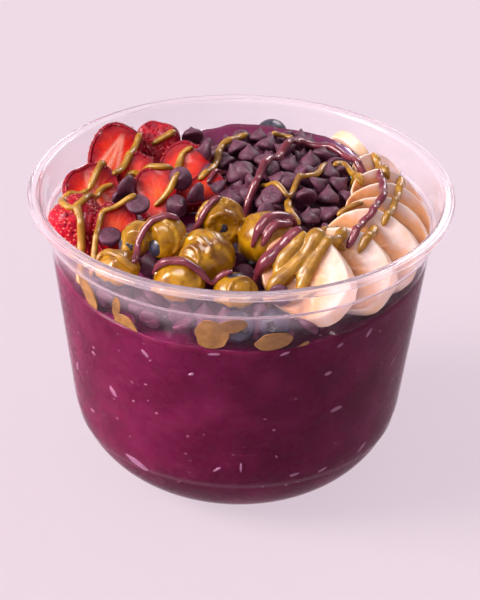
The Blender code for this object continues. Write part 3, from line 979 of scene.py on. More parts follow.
def make_blueberry(number):
    centre, radius = berry_place(number)
    tilt = BERRY_TILTS.get(number, (0.9 * math.sin(2.3 * number),
                                    0.9 * math.cos(1.7 * number)))
    place = (Matrix.Translation(centre) @ Matrix.Rotation(tilt[0], 4, "X")
             @ Matrix.Rotation(tilt[1], 4, "Y"))
    steps, rows = 72, 44
    c, s = circle(steps)
    rings, crown = [], []
    for k in range(1, rows):
        a = math.pi * k / rows - math.pi / 2
        ring = []
        for i in range(steps):
            across = math.cos(a)
            turn = math.tau * i / steps
            star = 0.30 + 0.06 * math.cos(5 * turn)
            lip = 0.10 * math.exp(-((across - star) / 0.07) ** 2) if a > 0 else 0.0
            pit = 0.20 * math.exp(-(across / 0.24) ** 4) if a > 0 else 0.0
            size = radius * (1.0 + 0.012 * wave((across * c[i], across * s[i], a), 0.8, number))
            ring.append(place @ Vector((size * across * c[i], size * across * s[i],
                                        size * (0.93 * math.sin(a) + lip - pit))) * MM)
            crown.append(1.0 if a > 0 and across < star else 0.0)
        rings.append(np.array(ring))
    mesh = as_mesh(f"berry_{number}", *surface(rings))
    paint(mesh, "crown", crown + [0.0, 1.0])
    return mesh


# ---------------------------------------------------------------- what lies on what

class Ground:
    """Height of the food's top over a fine grid, in millimetres."""

    PITCH = 0.4
    HALF = 66.0
    REACH = 64.0                  # nothing lies further out than this
    ABOVE = Vector((0.0, 0.0, 0.14))
    DOWN = Vector((0.0, 0.0, -1.0))

    def __init__(self, meshes):
        self.size = int(2 * self.HALF / self.PITCH) + 1
        parts = [([v.co for v in m.vertices], [p.vertices[:] for p in m.polygons])
                 for m in meshes]
        verts, faces = joined(parts)
        tree = BVHTree.FromPolygons([Vector(v) for v in verts], faces)
        self.top = np.full((self.size, self.size), FILL_Z)
        for i in range(self.size):
            for j in range(self.size):
                x, y = i * self.PITCH - self.HALF, j * self.PITCH - self.HALF
                if math.hypot(x, y) > self.REACH:
                    continue
                hit = tree.ray_cast(Vector((x * MM, y * MM, 0.0)) + self.ABOVE, self.DOWN)
                if hit[0] is not None:
                    self.top[i, j] = hit[0].z / MM

    def index(self, values):
        return np.clip(np.rint((values + self.HALF) / self.PITCH).astype(int),
                       0, self.size - 1)

    def heights(self, x, y):
        return self.top[self.index(np.asarray(x, float)), self.index(np.asarray(y, float))]

    def cover(self, points):
        """Raises the ground to a dense cloud of points."""
        np.maximum.at(self.top, (self.index(points[:, 0]), self.index(points[:, 1])),
                      points[:, 2])

    def drop(self, points, sink):
        """How far a cloud of points falls until it touches, less how far it sinks in."""
        return float(np.max(self.heights(points[:, 0], points[:, 1]) - points[:, 2])) - sink


# ---------------------------------------------------------------- chocolate chips

CHIP_PROFILE = ((0.02, 0.0), (0.55, 0.0), (0.86, 0.015), (0.96, 0.06), (1.0, 0.15),
                (0.97, 0.27), (0.87, 0.40), (0.70, 0.52), (0.50, 0.63), (0.33, 0.74),
                (0.21, 0.84), (0.13, 0.92), (0.06, 0.98), (0.02, 1.0))
CHIP_STEPS = 22
CHIP_RADIUS = 4.0
CHIP_HEIGHT = 5.6

# chips that show: x, y, bearing of the tip (degrees), how far it tips over (degrees)
HEAP_CHIPS = (
    (2.4, 27.4, 100, 15), (8.9, 34.0, 60, 40), (8.0, 20.4, 40, 35), (-2.2, 15.5, 150, 30),
    (3.4, 7.4, 200, 120), (-2.8, 1.5, 120, 35), (14.2, 29.5, 150, 60), (16.2, 17.0, 50, 35),
    (23.2, 24.0, 90, 10), (19.5, 40.6, 80, 70), (21.2, 12.4, 270, 30), (11.9, 7.0, 160, 75),
    (10.4, -2.4, 60, 150), (16.6, 5.5, 330, 40), (21.4, -1.5, 100, 60), (29.0, 2.5, 90, 25),
    (33.0, 11.0, 20, 50), (36.0, 5.6, 30, 60), (28.7, -7.2, 150, 50), (3.6, -9.4, 60, 40),
    (8.9, -9.4, 320, 80), (22.2, -11.8, 90, 20), (28.2, -17.6, 10, 100),
    (22.9, -21.8, 200, 80), (25.4, 6.6, 30, 60), (32.8, 20.6, 110, 60), (29.5, 16.6, 80, 25),
    (-12.0, 22.3, 200, 80), (-6.0, 26.0, 140, 60), (-1.6, 34.0, 120, 50),
    (17.0, -15.6, 300, 60), (1.6, 14.2, 300, 60), (8.6, 13.4, 210, 50),
    (-9.4, 36.6, 200, 60), (-5.0, 39.0, 120, 35), (-0.6, 43.4, 260, 70),
    (5.6, 44.4, 80, 40), (14.4, 44.6, 150, 75), (-6.8, 28.0, 60, 120),
    (27.4, 30.6, 70, 60), (31.4, 26.6, 110, 90), (34.6, 22.4, 20, 70),
    (22.6, 41.2, 60, 40), (27.2, 37.8, 200, 70), (31.4, 33.0, 320, 50), (35.4, 28.2, 90, 80),
    (20.0, 47.6, 80, 30), (-11.0, 20.4, 240, 100), (-8.6, 11.0, 170, 60), (10.4, 40.0, 10, 100),
)
# chips in the gaps between the berries: the same, then the height of the top
GAP_CHIPS = (
    (-29.6, -39.4, 60, 120, 88.0), (-25.4, -38.6, 200, 60, 89.0),
    (-28.4, -36.0, 300, 70, 96.5), (-25.2, -36.6, 40, 110, 94.5), (-12.0, -45.6, 90, 100, 90.0),
    (-0.5, -39.0, 20, 60, 88.0), (4.8, -38.4, 140, 100, 89.0),
    (1.2, -37.0, 250, 50, 94.0), (6.4, -35.6, 70, 80, 93.0),
    (-17.6, -24.4, 10, 60, 95.0), (1.0, -24.0, 190, 70, 95.0),
    (-2.0, -56.0, 100, 60, 88.0), (6.0, -52.4, 220, 90, 90.0),
)
LOOSE_CHIPS = (
    (-40.8, 8.6, 120, 80), (-38.0, 4.2, 320, 110), (-34.0, -8.9, 90, 158),
    (-42.8, -18.6, 90, 168), (-21.0, -2.0, 300, 60), (-20.4, 5.4, 270, 55),
    (-14.8, 1.6, 330, 110), (-17.6, 46.5, 100, 60), (-12.4, 24.5, 180, 90),
    (13.0, -50.6, 80, 80),
)


def chip_cloud(x, y, bearing, tip, size):
    """Points of one chip, its middle at the given place; the height comes later."""
    c, s = circle(CHIP_STEPS)
    radius = CHIP_RADIUS * size
    tall = CHIP_HEIGHT * size * RNG.uniform(0.88, 1.12)
    bend = RNG.uniform(0.0, 0.9)
    oval = RNG.uniform(0.92, 1.0)
    seed = RNG.uniform(0.0, 50.0)
    turned = (Matrix.Rotation(math.radians(bearing), 3, "Z")
              @ Matrix.Rotation(math.radians(tip), 3, "Y"))
    rings = []
    for across, up in CHIP_PROFILE:
        ring = []
        for i in range(CHIP_STEPS):
            dent = 1.0 + 0.06 * wave((c[i], s[i], 2 * up), 0.9, seed)
            spot = Vector((radius * across * dent * c[i] + bend * up ** 3,
                           radius * across * dent * oval * s[i],
                           tall * (up - 0.35) + 0.15 * wave((c[i], s[i], across), 0.6, seed)))
            ring.append(turned @ spot + Vector((x, y, 0.0)))
        rings.append(np.array(ring))
    return rings


def lay_chip(ground, row, sink, size=1.0, limit=None):
    """Drops one chip on what lies below it, its top no higher than a limit."""
    rings = chip_cloud(*row, size)
    cloud = np.concatenate(rings)
    fall = ground.drop(cloud, sink)
    if limit is not None:
        fall = min(fall, limit - cloud[:, 2].max())
    rings = [ring + (0.0, 0.0, fall) for ring in rings]
    dense = np.concatenate([a + (b - a) * t for a, b in zip(rings, rings[1:])
                            for t in (0.0, 0.33, 0.67)])
    ground.cover(np.concatenate([dense, (dense + np.roll(dense, 1, 0)) / 2]))
    return surface([ring * MM for ring in rings])


# share of the way out, height of the heap's top
HEAP_PROFILE = ((0.15, 104.7), (0.34, 104.4), (0.56, 103.6), (0.76, 102.2), (0.93, 100.5),
                (1.1, 98.5))
# rings of the core from its underside's middle: share of the way out, depth under the top
CORE_RINGS = ((0.05, 20.0), (0.5, 20.0), (0.85, 18.0), (0.9, 14.0), (0.88, 11.0), (0.82, 9.5),
              (0.72, 8.6), (0.58, 8.2), (0.42, 8.0), (0.28, 8.0), (0.14, 8.0), (0.04, 8.0))
FILLING_PITCH = (7.2, 6.3)        # between the chips of the first layer, across and along
FILLING_STRAY = 1.2
# chips behind the front wall: radius of the row, step of the bearing, highest top
TROUGH_ROWS = ((57.5, 8.6, 86.5), (51.5, 9.8, 88.5))
TROUGH_BEARINGS = (-152.0, -62.0)


def heap_share(x, y):
    """How far out a place on the heap is, from 0 in its middle to 1 at its edge."""
    dx, dy = x - HEAP_CENTRE[0], y - HEAP_CENTRE[1]
    return math.hypot(dx, dy) / around(HEAP_REACH, math.degrees(math.atan2(dy, dx)))[0]


def heap_top(x, y):
    """Height of the heap's top over a place (mm)."""
    return float(np.interp(heap_share(x, y), *zip(*HEAP_PROFILE)))


def make_core():
    """Packed chips under the ones that show, as a lumpy mound."""
    steps = 120
    c, s = circle(steps)
    rings = []
    for share, sunk in CORE_RINGS:
        ring = []
        for i in range(steps):
            reach = around(HEAP_REACH, 360.0 * i / steps)[0] * share
            x, y = HEAP_CENTRE[0] + reach * c[i], HEAP_CENTRE[1] + reach * s[i]
            lump = 0.9 * wave((x, y, 0.0), 3.2) + 0.5 * wave((x, y, 0.0), 1.4)
            ring.append((x * MM, y * MM, (heap_top(x, y) - sunk + lump) * MM))
        rings.append(np.array(ring))
    return as_mesh("chip_core", *surface(rings))


def heap_filling(ground):
    """A first layer of chips in rough rows under the ones that show."""
    parts = []
    across, along = FILLING_PITCH
    stray = FILLING_STRAY
    for i in range(-6, 7):
        for j in range(-6, 7):
            x = HEAP_CENTRE[0] + (i + 0.5 * (j % 2)) * across + RNG.uniform(-stray, stray)
            y = HEAP_CENTRE[1] + j * along + RNG.uniform(-stray, stray)
            row = (x, y, RNG.uniform(0, 360), RNG.choice((10, 30, 60, 90, 120, 170)))
            size = RNG.uniform(0.92, 1.02)
            if heap_share(x, y) < 0.93:
                parts.append(lay_chip(ground, row, 1.0, size, heap_top(x, y) - 2.2))
    return parts


def trough_filling(ground):
    """Chips in the gap between the acai's slope and the front of the wall."""
    parts = []
    for radius, step, limit in TROUGH_ROWS:
        for bearing in np.arange(*TROUGH_BEARINGS, step):
            angle = math.radians(bearing + RNG.uniform(-2.0, 2.0))
            out = radius + RNG.uniform(-1.0, 1.0)
            row = (out * math.cos(angle), out * math.sin(angle), RNG.uniform(0, 360),
                   RNG.choice((15, 40, 70, 100, 150)))
            size = RNG.uniform(0.94, 1.04)
            parts.append(lay_chip(ground, row, 0.6, size, limit + RNG.uniform(-1.5, 1.0)))
    return parts


# ---------------------------------------------------------------- sauces

LINE_STEP = 0.5                   # millimetres
STRAND_SIDES = 12
STRAND_FLATNESS = 0.8             # its height over its width
STRAND_SAG = 0.02
STRAND_VOXEL = 0.32               # cells in which strands are melted into one (mm)
COAT_VOXEL = 0.35


def spline(points):
    """A smooth line through a few points, with even steps, in millimetres."""
    points = [np.array(p, float) for p in points]
    ends = [2 * points[0] - points[1], *points, 2 * points[-1] - points[-2]]
    line = []
    for a, b, c, d in zip(ends, ends[1:], ends[2:], ends[3:]):
        count = max(int(np.linalg.norm(c - b) / LINE_STEP), 1)
        for t in np.arange(count) / count:
            line.append(0.5 * ((2 * b) + (c - a) * t + (2 * a - 5 * b + 4 * c - d) * t * t
                               + (3 * b - a - 3 * c + d) * t ** 3))
    return np.array([*line, points[-1]])


def smooth_line(values, rounds):
    """Evens out a line in place; its ends stay."""
    for _ in range(rounds):
        values[1:-1] = (values[:-2] + 2 * values[1:-1] + values[2:]) / 4
    return values


def tube(line, half_width):
    """A closed strand along a line; its ends taper, its section is an oval."""
    tangent = np.gradient(line, axis=0)
    tangent /= np.linalg.norm(tangent, axis=1)[:, None] + 1e-9
    side = np.cross(tangent, (0.0, 0.0, 1.0))
    side /= np.linalg.norm(side, axis=1)[:, None] + 1e-9
    side = smooth_line(side, 4)
    up = np.cross(side, tangent)
    count = len(line)
    ends = np.clip(np.minimum(np.arange(count), np.arange(count)[::-1]) * 0.5
                   / (half_width.mean() * 1.2) + 0.12, 0.0, 1.0) ** 0.5
    c, s = circle(STRAND_SIDES)
    rings = []
    for k in range(count):
        wide = half_width[k] * ends[k]
        tall = wide * STRAND_FLATNESS
        rings.append((line[k] + np.outer(c * wide, side[k]) + np.outer(s * tall, up[k])) * MM)
    return surface(rings)


def strand(ground, points, width, seed, lift=0.25):
    """A strand poured from above: it follows what is below and spans the gaps."""
    flat = spline(points)
    under = np.max([ground.heights(flat[:, 0] + dx, flat[:, 1] + dy)
                    for dx, dy in ((0, 0), (0.5, 0), (-0.5, 0), (0, 0.5), (0, -0.5))], axis=0)
    rest = under.copy()
    for _ in range(240):
        rest[1:-1] = np.maximum(under[1:-1], (rest[:-2] + rest[2:]) / 2 - STRAND_SAG)
    rest = smooth_line(rest, 6)
    half_width = np.array([0.5 * width * (1 + 0.22 * wave((k * 0.5, 0, 0), 3.5, seed))
                           for k in range(len(flat))])
    line = np.column_stack([flat, rest + lift * half_width * STRAND_FLATNESS])
    return tube(line, half_width)


def ball_arc(number, lift, pole, opening, start, end, width, seed):
    """A strand on a coated berry: part of a circle round a pole, in degrees."""
    middle, radius = COATS[number][:2]
    middle, pole = Vector(middle), Vector(pole).normalized()
    first = pole.orthogonal().normalized()
    second = pole.cross(first)
    count = max(int(abs(end - start) / 4), 8)
    line = []
    for k in range(count + 1):
        turn = math.radians(start + (end - start) * k / count)
        open_angle = math.radians(opening * (1 + 0.08 * wave((k * 0.3, 0, 0), 1.0, seed)))
        out = (pole * math.cos(open_angle)
               + (first * math.cos(turn) + second * math.sin(turn)) * math.sin(open_angle))
        line.append(np.array(middle + out * (radius + lift)))
    return tube(np.array(line), np.full(len(line), width / 2))


# coated berries: node number, middle and radius of the coated shape, direction in which
# the sauce is thickest, how far round it reaches from there (degrees), and a bare spot
# as a direction and its half angle
COATS = {
    1: ((-32.4, -27.4, 97.9), 6.2, (-0.3, 0.1, 1.0), 118, ((-0.34, -0.90, 0.22), 32)),
    2: ((-24.6, -29.3, 99.8), 7.9, (0.2, 0.0, 1.0), 112, ((-0.72, -0.68, 0.10), 34)),
    3: ((-10.6, -34.6, 95.4), 9.4, (0.1, -0.2, 1.0), 125, None),
    4: ((-19.0, -44.7, 92.2), 8.5, (0.0, -0.1, 1.0), 105, None),
    5: ((-1.3, -48.0, 90.2), 7.1, (0.0, -0.1, 1.0), 102, None),
    6: ((-6.6, -17.0, 99.8), 7.9, (-0.1, -0.1, 1.0), 118, ((0.11, -0.97, 0.20), 20)),
    7: ((8.6, -25.2, 97.5), 9.5, (-0.2, -0.2, 1.0), 118, None),
    8: ((-38.8, -39.2, 92.6), 7.2, (0.0, 0.0, 1.0), 104, None),
}


def coat(number):
    """A cap of sauce over a berry, thin at its wavy edge."""
    middle, radius, pole, reach, gap = COATS[number]
    berry_middle, bare = berry_place(number)
    middle, pole = Vector(middle), Vector(pole).normalized()
    first = pole.orthogonal().normalized()
    second = pole.cross(first)
    gap_way, gap_angle = (Vector(gap[0]).normalized(), gap[1]) if gap else (None, 0)
    steps, rows = 96, 44
    c, s = circle(steps)
    outer, inner = [], []
    for k in range(rows + 1):
        share = max(k / rows, 0.01)
        out_ring, in_ring = [], []
        for i in range(steps):
            edge = reach * (1 + 0.16 * wave((2 * c[i], 2 * s[i], 0), 1.2, number)
                            + 0.07 * wave((5 * c[i], 5 * s[i], 0), 1.2, number))
            angle = math.radians(edge * share)
            out = (pole * math.cos(angle)
                   + (first * c[i] + second * s[i]) * math.sin(angle))
            full = max(1.0 - share ** 6, 0.0) ** 0.5
            if gap:
                off = math.degrees(out.angle(gap_way)) + 5.0 * wave(out * 3.0, 1.0, number)
                full *= min(max((off - gap_angle) / 7.0, -0.4), 1.0)
            skin_point = berry_middle + out * (bare + 0.15)
            sauce_point = middle + out * (radius + 0.35 * wave(out * 6.0, 2.4, number))
            out_ring.append(np.array(skin_point + (sauce_point - skin_point) * full) * MM)
            in_ring.append(np.array(berry_middle + out * (bare - 0.9)) * MM)
        outer.append(np.array(out_ring))
        inner.append(np.array(in_ring))
    return surface(inner + outer[::-1])


# strands of gold sauce: width, then points x, y
GOLD_STRANDS = (
    (2.6, ((-46.8, 23.0), (-48.1, 18.5), (-49.9, 14.7), (-51.4, 11.3))),
    (2.5, ((-43.5, 14.2), (-47.8, 11.0), (-50.4, 0.0), (-52.5, -5.5), (-55.7, -8.5),
           (-59.0, -5.0), (-59.9, 4.0), (-58.0, 9.0), (-54.5, 9.5), (-51.4, 11.3))),
    (2.6, ((-43.6, 16.6), (-41.5, 20.5), (-39.3, 25.0), (-37.0, 31.5), (-35.1, 37.6))),
    (2.7, ((-31.3, 38.1), (-26.9, 39.7), (-23.2, 41.8))),
    (2.7, ((-54.5, -6.0), (-53.7, -9.6), (-52.6, -13.0), (-52.0, -22.0), (-51.5, -31.0))),
    (2.2, ((-34.6, -6.5), (-37.3, -8.3), (-43.4, -10.0), (-45.7, -11.2), (-47.2, -20.0),
           (-48.0, -30.0))),
    (2.6, ((-40.0, 20.5), (-36.8, 21.7), (-33.6, 17.5), (-31.2, 12.5), (-24.8, 11.5),
           (-22.4, 19.5), (-20.6, 27.4), (-16.9, 29.1))),
    (2.5, ((-29.0, -0.9), (-26.4, 0.4), (-23.8, 1.8), (-20.9, 4.9))),
    (2.4, ((-14.7, 13.0), (-12.1, 15.6), (-9.7, 20.4), (-8.6, 25.0), (-8.0, 29.4),
           (-6.9, 35.0), (-3.7, 38.0), (-1.0, 41.4), (1.8, 43.4))),
    (2.4, ((-13.5, 34.5), (-12.1, 38.0), (-10.6, 42.4), (-9.0, 44.4), (-6.8, 45.4))),
    (2.2, ((10.0, 37.0), (12.0, 39.0), (14.2, 39.8), (17.6, 38.6))),
    (2.2, ((6.4, 6.7), (10.0, 2.3), (13.1, -1.8), (15.5, -4.5), (17.9, 1.2), (20.2, 5.6),
           (24.0, 8.8), (27.0, 16.0), (29.3, 23.0))),
    (2.9, ((15.5, -3.4), (15.7, -9.2), (16.6, -14.2), (17.9, -17.0), (19.4, -19.0))),
    (2.4, ((31.0, 18.9), (33.8, 22.0), (36.6, 17.3), (38.6, 12.3), (40.4, 6.2))),
    (3.0, ((44.6, 30.6), (46.0, 28.6), (47.4, 22.0), (48.4, 15.6), (49.6, 13.6))),
    (2.8, ((53.9, 17.4), (53.4, 9.0), (52.4, 2.2), (50.5, -8.7), (48.4, -16.6),
           (46.2, -21.9))),
    (3.2, ((43.8, -21.6), (41.6, -29.6), (39.7, -32.5), (38.0, -34.6))),
    (1.9, ((36.6, 17.0), (38.4, 8.0), (40.6, 6.5))),
    (1.8, ((31.4, -14.9), (33.0, -13.9), (36.0, -12.6), (40.2, -11.0))),
    (1.9, ((25.4, -29.6), (28.1, -26.4), (31.4, -22.4))),
    (2.2, ((26.6, -38.4), (29.4, -35.6), (31.6, -33.2), (33.9, -33.6))),
    (3.0, ((-45.6, -39.4), (-44.4, -37.8), (-42.1, -38.9), (-39.4, -41.1), (-36.8, -43.0),
           (-34.5, -43.7), (-32.4, -42.0))),
    (5.2, ((26.0, -33.5), (24.4, -37.0), (21.3, -40.5), (16.0, -43.6), (8.5, -47.4))),
    (4.1, ((33.4, -28.5), (31.4, -32.7), (27.5, -38.8), (22.4, -44.4), (18.6, -50.0))),
    (3.6, ((9.8, -40.6), (13.5, -41.6), (16.5, -42.6), (14.0, -45.4))),
    (5.6, ((20.6, -35.6), (17.0, -38.6), (13.8, -41.0), (11.6, -44.6))),
    (4.0, ((24.8, -39.4), (21.6, -43.4), (18.4, -46.6))),
)
# strands of chocolate sauce
CHOCOLATE_STRANDS = (
    (2.8, ((1.2, -2.4), (2.6, 0.6), (5.0, 4.6), (6.9, 10.8), (9.8, 17.0), (12.8, 22.9),
           (15.8, 29.0), (18.2, 34.6), (20.6, 36.6), (25.6, 36.1), (31.0, 33.4),
           (36.2, 27.6), (39.6, 20.6), (42.0, 17.6))),
    (2.8, ((46.2, 14.0), (46.8, 8.0), (46.9, 1.2), (46.7, -7.7), (44.6, -12.0),
           (42.6, -19.5), (39.8, -22.0), (36.8, -30.3), (34.3, -33.6))),
    (2.0, ((-11.5, 10.5), (-8.0, 17.0), (-5.0, 21.5))),
    (4.8, ((4.6, -40.6), (8.4, -40.4), (13.2, -38.0), (19.4, -34.6))),
    (2.6, ((-33.9, -43.0), (-33.1, -39.6), (-32.5, -34.6), (-30.9, -32.6), (-29.2, -31.6),
           (-26.5, -31.0), (-22.4, -30.0), (-19.6, -30.2))),
    (2.5, ((-17.2, -22.4), (-15.1, -22.5), (-13.2, -22.0), (-11.0, -20.4), (-8.8, -18.2),
           (-6.2, -16.9))),
    (3.0, ((-27.6, -45.0), (-25.4, -45.2), (-22.6, -45.8), (-18.2, -46.8), (-14.4, -47.6),
           (-11.2, -47.8), (-8.4, -47.6))),
    (2.4, ((-8.4, -47.6), (-5.8, -46.8), (-2.0, -46.6))),
    (3.5, ((3.8, -33.6), (5.3, -32.3), (6.9, -30.4), (9.1, -28.3), (12.3, -26.1),
           (15.2, -24.6), (17.8, -20.0))),
    (3.2, ((6.9, -35.0), (8.0, -34.0), (9.4, -32.2), (11.6, -30.2), (14.2, -28.6),
           (16.6, -25.8))),
)
# gold swirls on the coated berries: node number, height over the coat, pole, opening
# of the circle, start and end round it (degrees), width
GOLD_SWIRLS = (
    (3, -0.1, (-0.62, -0.66, 0.42), 24, 0, 360, 1.8),
    (3, 0.0, (-0.62, -0.66, 0.42), 46, 150, 420, 2.0),
    (3, 0.0, (-0.62, -0.66, 0.42), 68, 170, 400, 2.0),
    (6, -0.2, (0.11, -0.97, 0.20), 37, 0, 360, 2.5),
    (6, 0.2, (0.02, -0.90, 0.40), 64, 60, 330, 2.4),
    (2, 0.0, (-0.3, -0.8, 0.4), 55, 90, 330, 1.8),
    (4, 0.0, (-0.2, -0.8, 0.5), 62, 120, 300, 1.6),
    (5, 0.0, (0.5, -0.7, 0.5), 45, 120, 320, 1.8),
    (7, 0.0, (-0.8, -0.5, 0.3), 58, 90, 300, 1.6),
)
# patches of gold stuck to the inside of the wall: bearing (degrees), height, half width
# and half height (mm), lean (degrees), thickness
WALL_PATCHES = (
    (-141.0, 85.5, 3.2, 7.2, 30, 1.2), (-125.5, 79.6, 4.4, 3.4, -28, 1.2),
    (-128.5, 85.0, 1.6, 4.2, -10, 0.9), (-97.6, 83.6, 5.6, 5.6, 14, 1.5),
    (-92.4, 87.0, 5.8, 2.4, 20, 1.3), (-79.5, 81.0, 6.0, 3.4, 12, 1.3),
    (-70.5, 78.2, 2.4, 0.8, 30, 0.6), (-95.5, 75.8, 3.0, 0.8, 5, 0.6),
)


PATCH_REACH = 0.12                # how far a patch reaches into the wall
# rings of a patch: on the wall from its middle outwards, then back over its face
PATCH_RINGS = [(1, share) for share in (0.05, 0.4, 0.75, 0.95, 1.0)]
PATCH_RINGS += [(-1, share) for share in (0.99, 0.93, 0.8, 0.6, 0.3, 0.04)]


def wall_patch(bearing, height, half_width, half_height, lean, thick):
    """A flat blob of sauce that clings to the tub's inside."""
    steps = 64
    c, s = circle(steps)
    tilt = math.radians(lean)
    rings = []
    for side, share in PATCH_RINGS:
        ring = []
        for i in range(steps):
            swell = 1.0 + 0.16 * wave((1.4 * c[i], 1.4 * s[i], 0), 1.0, bearing)
            across = half_width * share * swell * c[i]
            up = half_height * share * swell * s[i]
            x = across * math.cos(tilt) - up * math.sin(tilt)
            z = height + across * math.sin(tilt) + up * math.cos(tilt)
            radius = inner_radius(z) + PATCH_REACH
            if side < 0:
                radius -= PATCH_REACH + thick * math.sqrt(max(1.0 - share ** 3, 0.0))
            angle = math.radians(bearing) + x / radius
            ring.append((radius * math.cos(angle), radius * math.sin(angle), z))
        rings.append(np.array(ring) * MM)
    return surface(rings)


# ---------------------------------------------------------------- stage, light, camera

FLOOR_COLOUR = "eedde9"
FLOOR_GLOW = 0.75                 # most of the floor's light is its own: a light table
CAMERA_DISTANCE = 0.851
CAMERA_PITCH = 30.774             # degrees below the horizon
CAMERA_ROLL = 1.3535
CAMERA_AIM = Vector((0.00037, 0.0, 0.05967))
CAMERA_LENS = 149.84              # mm on a 36 mm sensor


def make_stage():
    look = Look("studio_floor", 1.0, specular_ior_level=0.0, emission_strength=FLOOR_GLOW)
    look.shader.inputs["Emission Color"].default_value = rgb(FLOOR_COLOUR)
    look.colour(look.ramp(look.noise(3.0, 2.0), (0.2, "726a70"), (0.8, "746c72")))
    half = 6.0
    mesh = bpy.data.meshes.new("studio_floor")
    mesh.from_pydata([(-half, -half, 0), (half, -half, 0), (half, half, 0),
                      (-half, half, 0)], [], [(0, 1, 2, 3)])
    mesh.materials.append(look.material)
    floor = bpy.data.objects.new("studio_floor", mesh)
    bpy.context.scene.collection.objects.link(floor)


# soft boxes that give the wet surfaces their highlights: name, power, colour, place,
# width, height
LIGHT_BOXES = (
    ("left_box", 10.0, "fff4f8", (-0.85, -0.25, 0.75), 0.45, 0.6),
    ("rear_box", 9.0, "fff4f8", (0.45, 0.85, 0.75), 0.6, 0.4),
    ("top_box", 7.0, "ffffff", (-0.15, -0.30, 1.1), 0.5, 0.35),
)


def add_light(name, kind, power, colour, place, aim=(0, 0, 0.06), **settings):
    light = bpy.data.lights.new(name, kind)
    light.energy = power
    light.color = rgb(colour)[:3]
    for key, value in settings.items():
        setattr(light, key, value)
    lamp = bpy.data.objects.new(name, light)
    lamp.visible_diffuse = kind == "SUN"      # the boxes only shape the highlights
    lamp.location = place
    lamp.rotation_euler = (Vector(place) - Vector(aim)).to_track_quat("Z", "Y").to_euler()
    bpy.context.scene.collection.objects.link(lamp)


def make_light():
    world = bpy.data.worlds.new("studio")
    world.use_nodes = True
    back = world.node_tree.nodes["Background"]
    back.inputs["Color"].default_value = rgb("f6e8f1")
    back.inputs["Strength"].default_value = 0.60
    bpy.context.scene.world = world
    add_light("key", "SUN", 4.0, "fff2ea", (-1.0, -0.18, 0.70), (0, 0, 0),
              angle=math.radians(30))
    for name, power, colour, place, wide, high in LIGHT_BOXES:
        add_light(name, "AREA", power, colour, place, shape="RECTANGLE", size=wide,
                  size_y=high)


def make_camera():
    data = bpy.data.cameras.new("camera")
    data.sensor_width = 36.0
    data.lens = CAMERA_LENS
    data.clip_start = 0.05
    camera = bpy.data.objects.new("camera", data)
    pitch = math.radians(CAMERA_PITCH)
    camera.location = CAMERA_AIM + CAMERA_DISTANCE * Vector((0, -math.cos(pitch),
                                                             math.sin(pitch)))
    turned = (Matrix.Rotation(math.pi / 2 - pitch, 4, "X")
              @ Matrix.Rotation(math.radians(CAMERA_ROLL), 4, "Z"))
    camera.rotation_euler = turned.to_euler()
    bpy.context.scene.collection.objects.link(camera)
    bpy.context.scene.camera = camera


LIGHT_LIMITS = {
    "max_bounces": 12,
    "diffuse_bounces": 3,
    "glossy_bounces": 4,
    "transmission_bounces": 12,
    "transparent_max_bounces": 16,
    "sample_clamp_indirect": 4.0,
}


def set_render_look():
    scene = bpy.context.scene
    scene.view_settings.view_transform = "Standard"
    scene.view_settings.look = "None"
    for key, value in LIGHT_LIMITS.items():
        setattr(scene.cycles, key, value)


# ---------------------------------------------------------------- the whole bowl

def add_fruit(name, number, mesh, look, node):
    """One slice or berry in the place of its CAD node, pressed in by the wall."""
    keep_inside(mesh)
    add_piece(f"{name}_{number}", mesh, look, [f"{node}_{number}"])
    return mesh


def make_strawberries():
    look = strawberry_look()
    meshes, seeds = [], []
    for number, row in enumerate(STRAWBERRY_SLICES, 1):
        mesh, place = make_strawberry(number, row)
        meshes.append(add_fruit("strawberry", number, mesh, look,
                                "strawberry_slice"))
        if number != SEEDLESS:
            seeds += seeds_of(number, row, place)
    seeds = as_mesh("seeds", *joined(seeds))
    keep_inside(seeds)
    add_piece("strawberry_seeds", seeds, seed_look())
    return meshes


def make_bananas():
    look = banana_look()
    return [add_fruit("banana", number, make_banana(number, row), look,
                      "banana_slice") for number, row in enumerate(BANANA_SLICES, 1)]


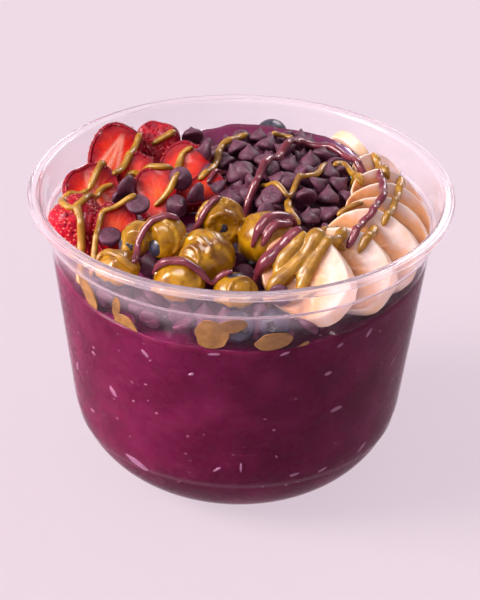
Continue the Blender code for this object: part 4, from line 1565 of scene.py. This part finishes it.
def make_blueberries():
    look = berry_look()
    return [add_fruit("berry", number, make_blueberry(number), look,
                      "blueberry") for number in range(1, BERRY_COUNT + 1)]


def make_chips(ground, look):
    chips = heap_filling(ground)
    chips += [lay_chip(ground, row, 0.5, 1.0, heap_top(*row[:2]) + 1.2) for row in HEAP_CHIPS]
    chips += [lay_chip(ground, row[:4], 0.5, 1.0, row[4]) for row in GAP_CHIPS]
    chips += trough_filling(ground)
    chips += [lay_chip(ground, row, 0.4) for row in LOOSE_CHIPS]
    add_piece("chocolate_chips", as_mesh("chips", *joined(chips)), look)


def make_sauces(ground, coats):
    swirls = [ball_arc(*row, seed=3.0 * k) for k, row in enumerate(GOLD_SWIRLS, 1)]
    add_piece("gold_coats", fused(coats + swirls, COAT_VOXEL),
              sauce_look("gold_sauce", "7c4800", "a87604", "ca9a14", 0.18, 0.36))
    strands = [strand(ground, points, width, seed=k)
               for k, (width, points) in enumerate(GOLD_STRANDS)]
    add_piece("gold_drizzle", fused(strands, STRAND_VOXEL),
              sauce_look("gold_strand", "825410", "a87814", "ca982e", 0.28, 0.48))
    patches = [wall_patch(*row) for row in WALL_PATCHES]
    add_piece("gold_on_wall", as_mesh("patches", *joined(patches)),
              sauce_look("gold_on_wall", "704a1a", "8a5f26", "a87a3c", 0.25, 0.4))
    strands = [strand(ground, points, width, seed=40 + k, lift=0.7)
               for k, (width, points) in enumerate(CHOCOLATE_STRANDS)]
    add_piece("chocolate_drizzle", fused(strands, STRAND_VOXEL),
              sauce_look("chocolate_sauce", "5c2230", "7c3040", "96505a", 0.16, 0.34))


def main():
    make_tub()
    lying = [make_acai().data]
    add_piece("acai_flecks", make_flecks(), fleck_look())
    lying += make_strawberries()
    lying += make_bananas()
    lying += make_blueberries()
    core, chocolate = make_core(), chocolate_look()
    add_piece("chip_core", core, chocolate, ["chip_heap"])
    coats = [coat(number) for number in COATS]
    ground = Ground([*lying, core, as_mesh("coats", *joined(coats))])
    make_chips(ground, chocolate)
    make_sauces(ground, coats)
    make_stage()
    make_light()
    make_camera()
    set_render_look()


main()
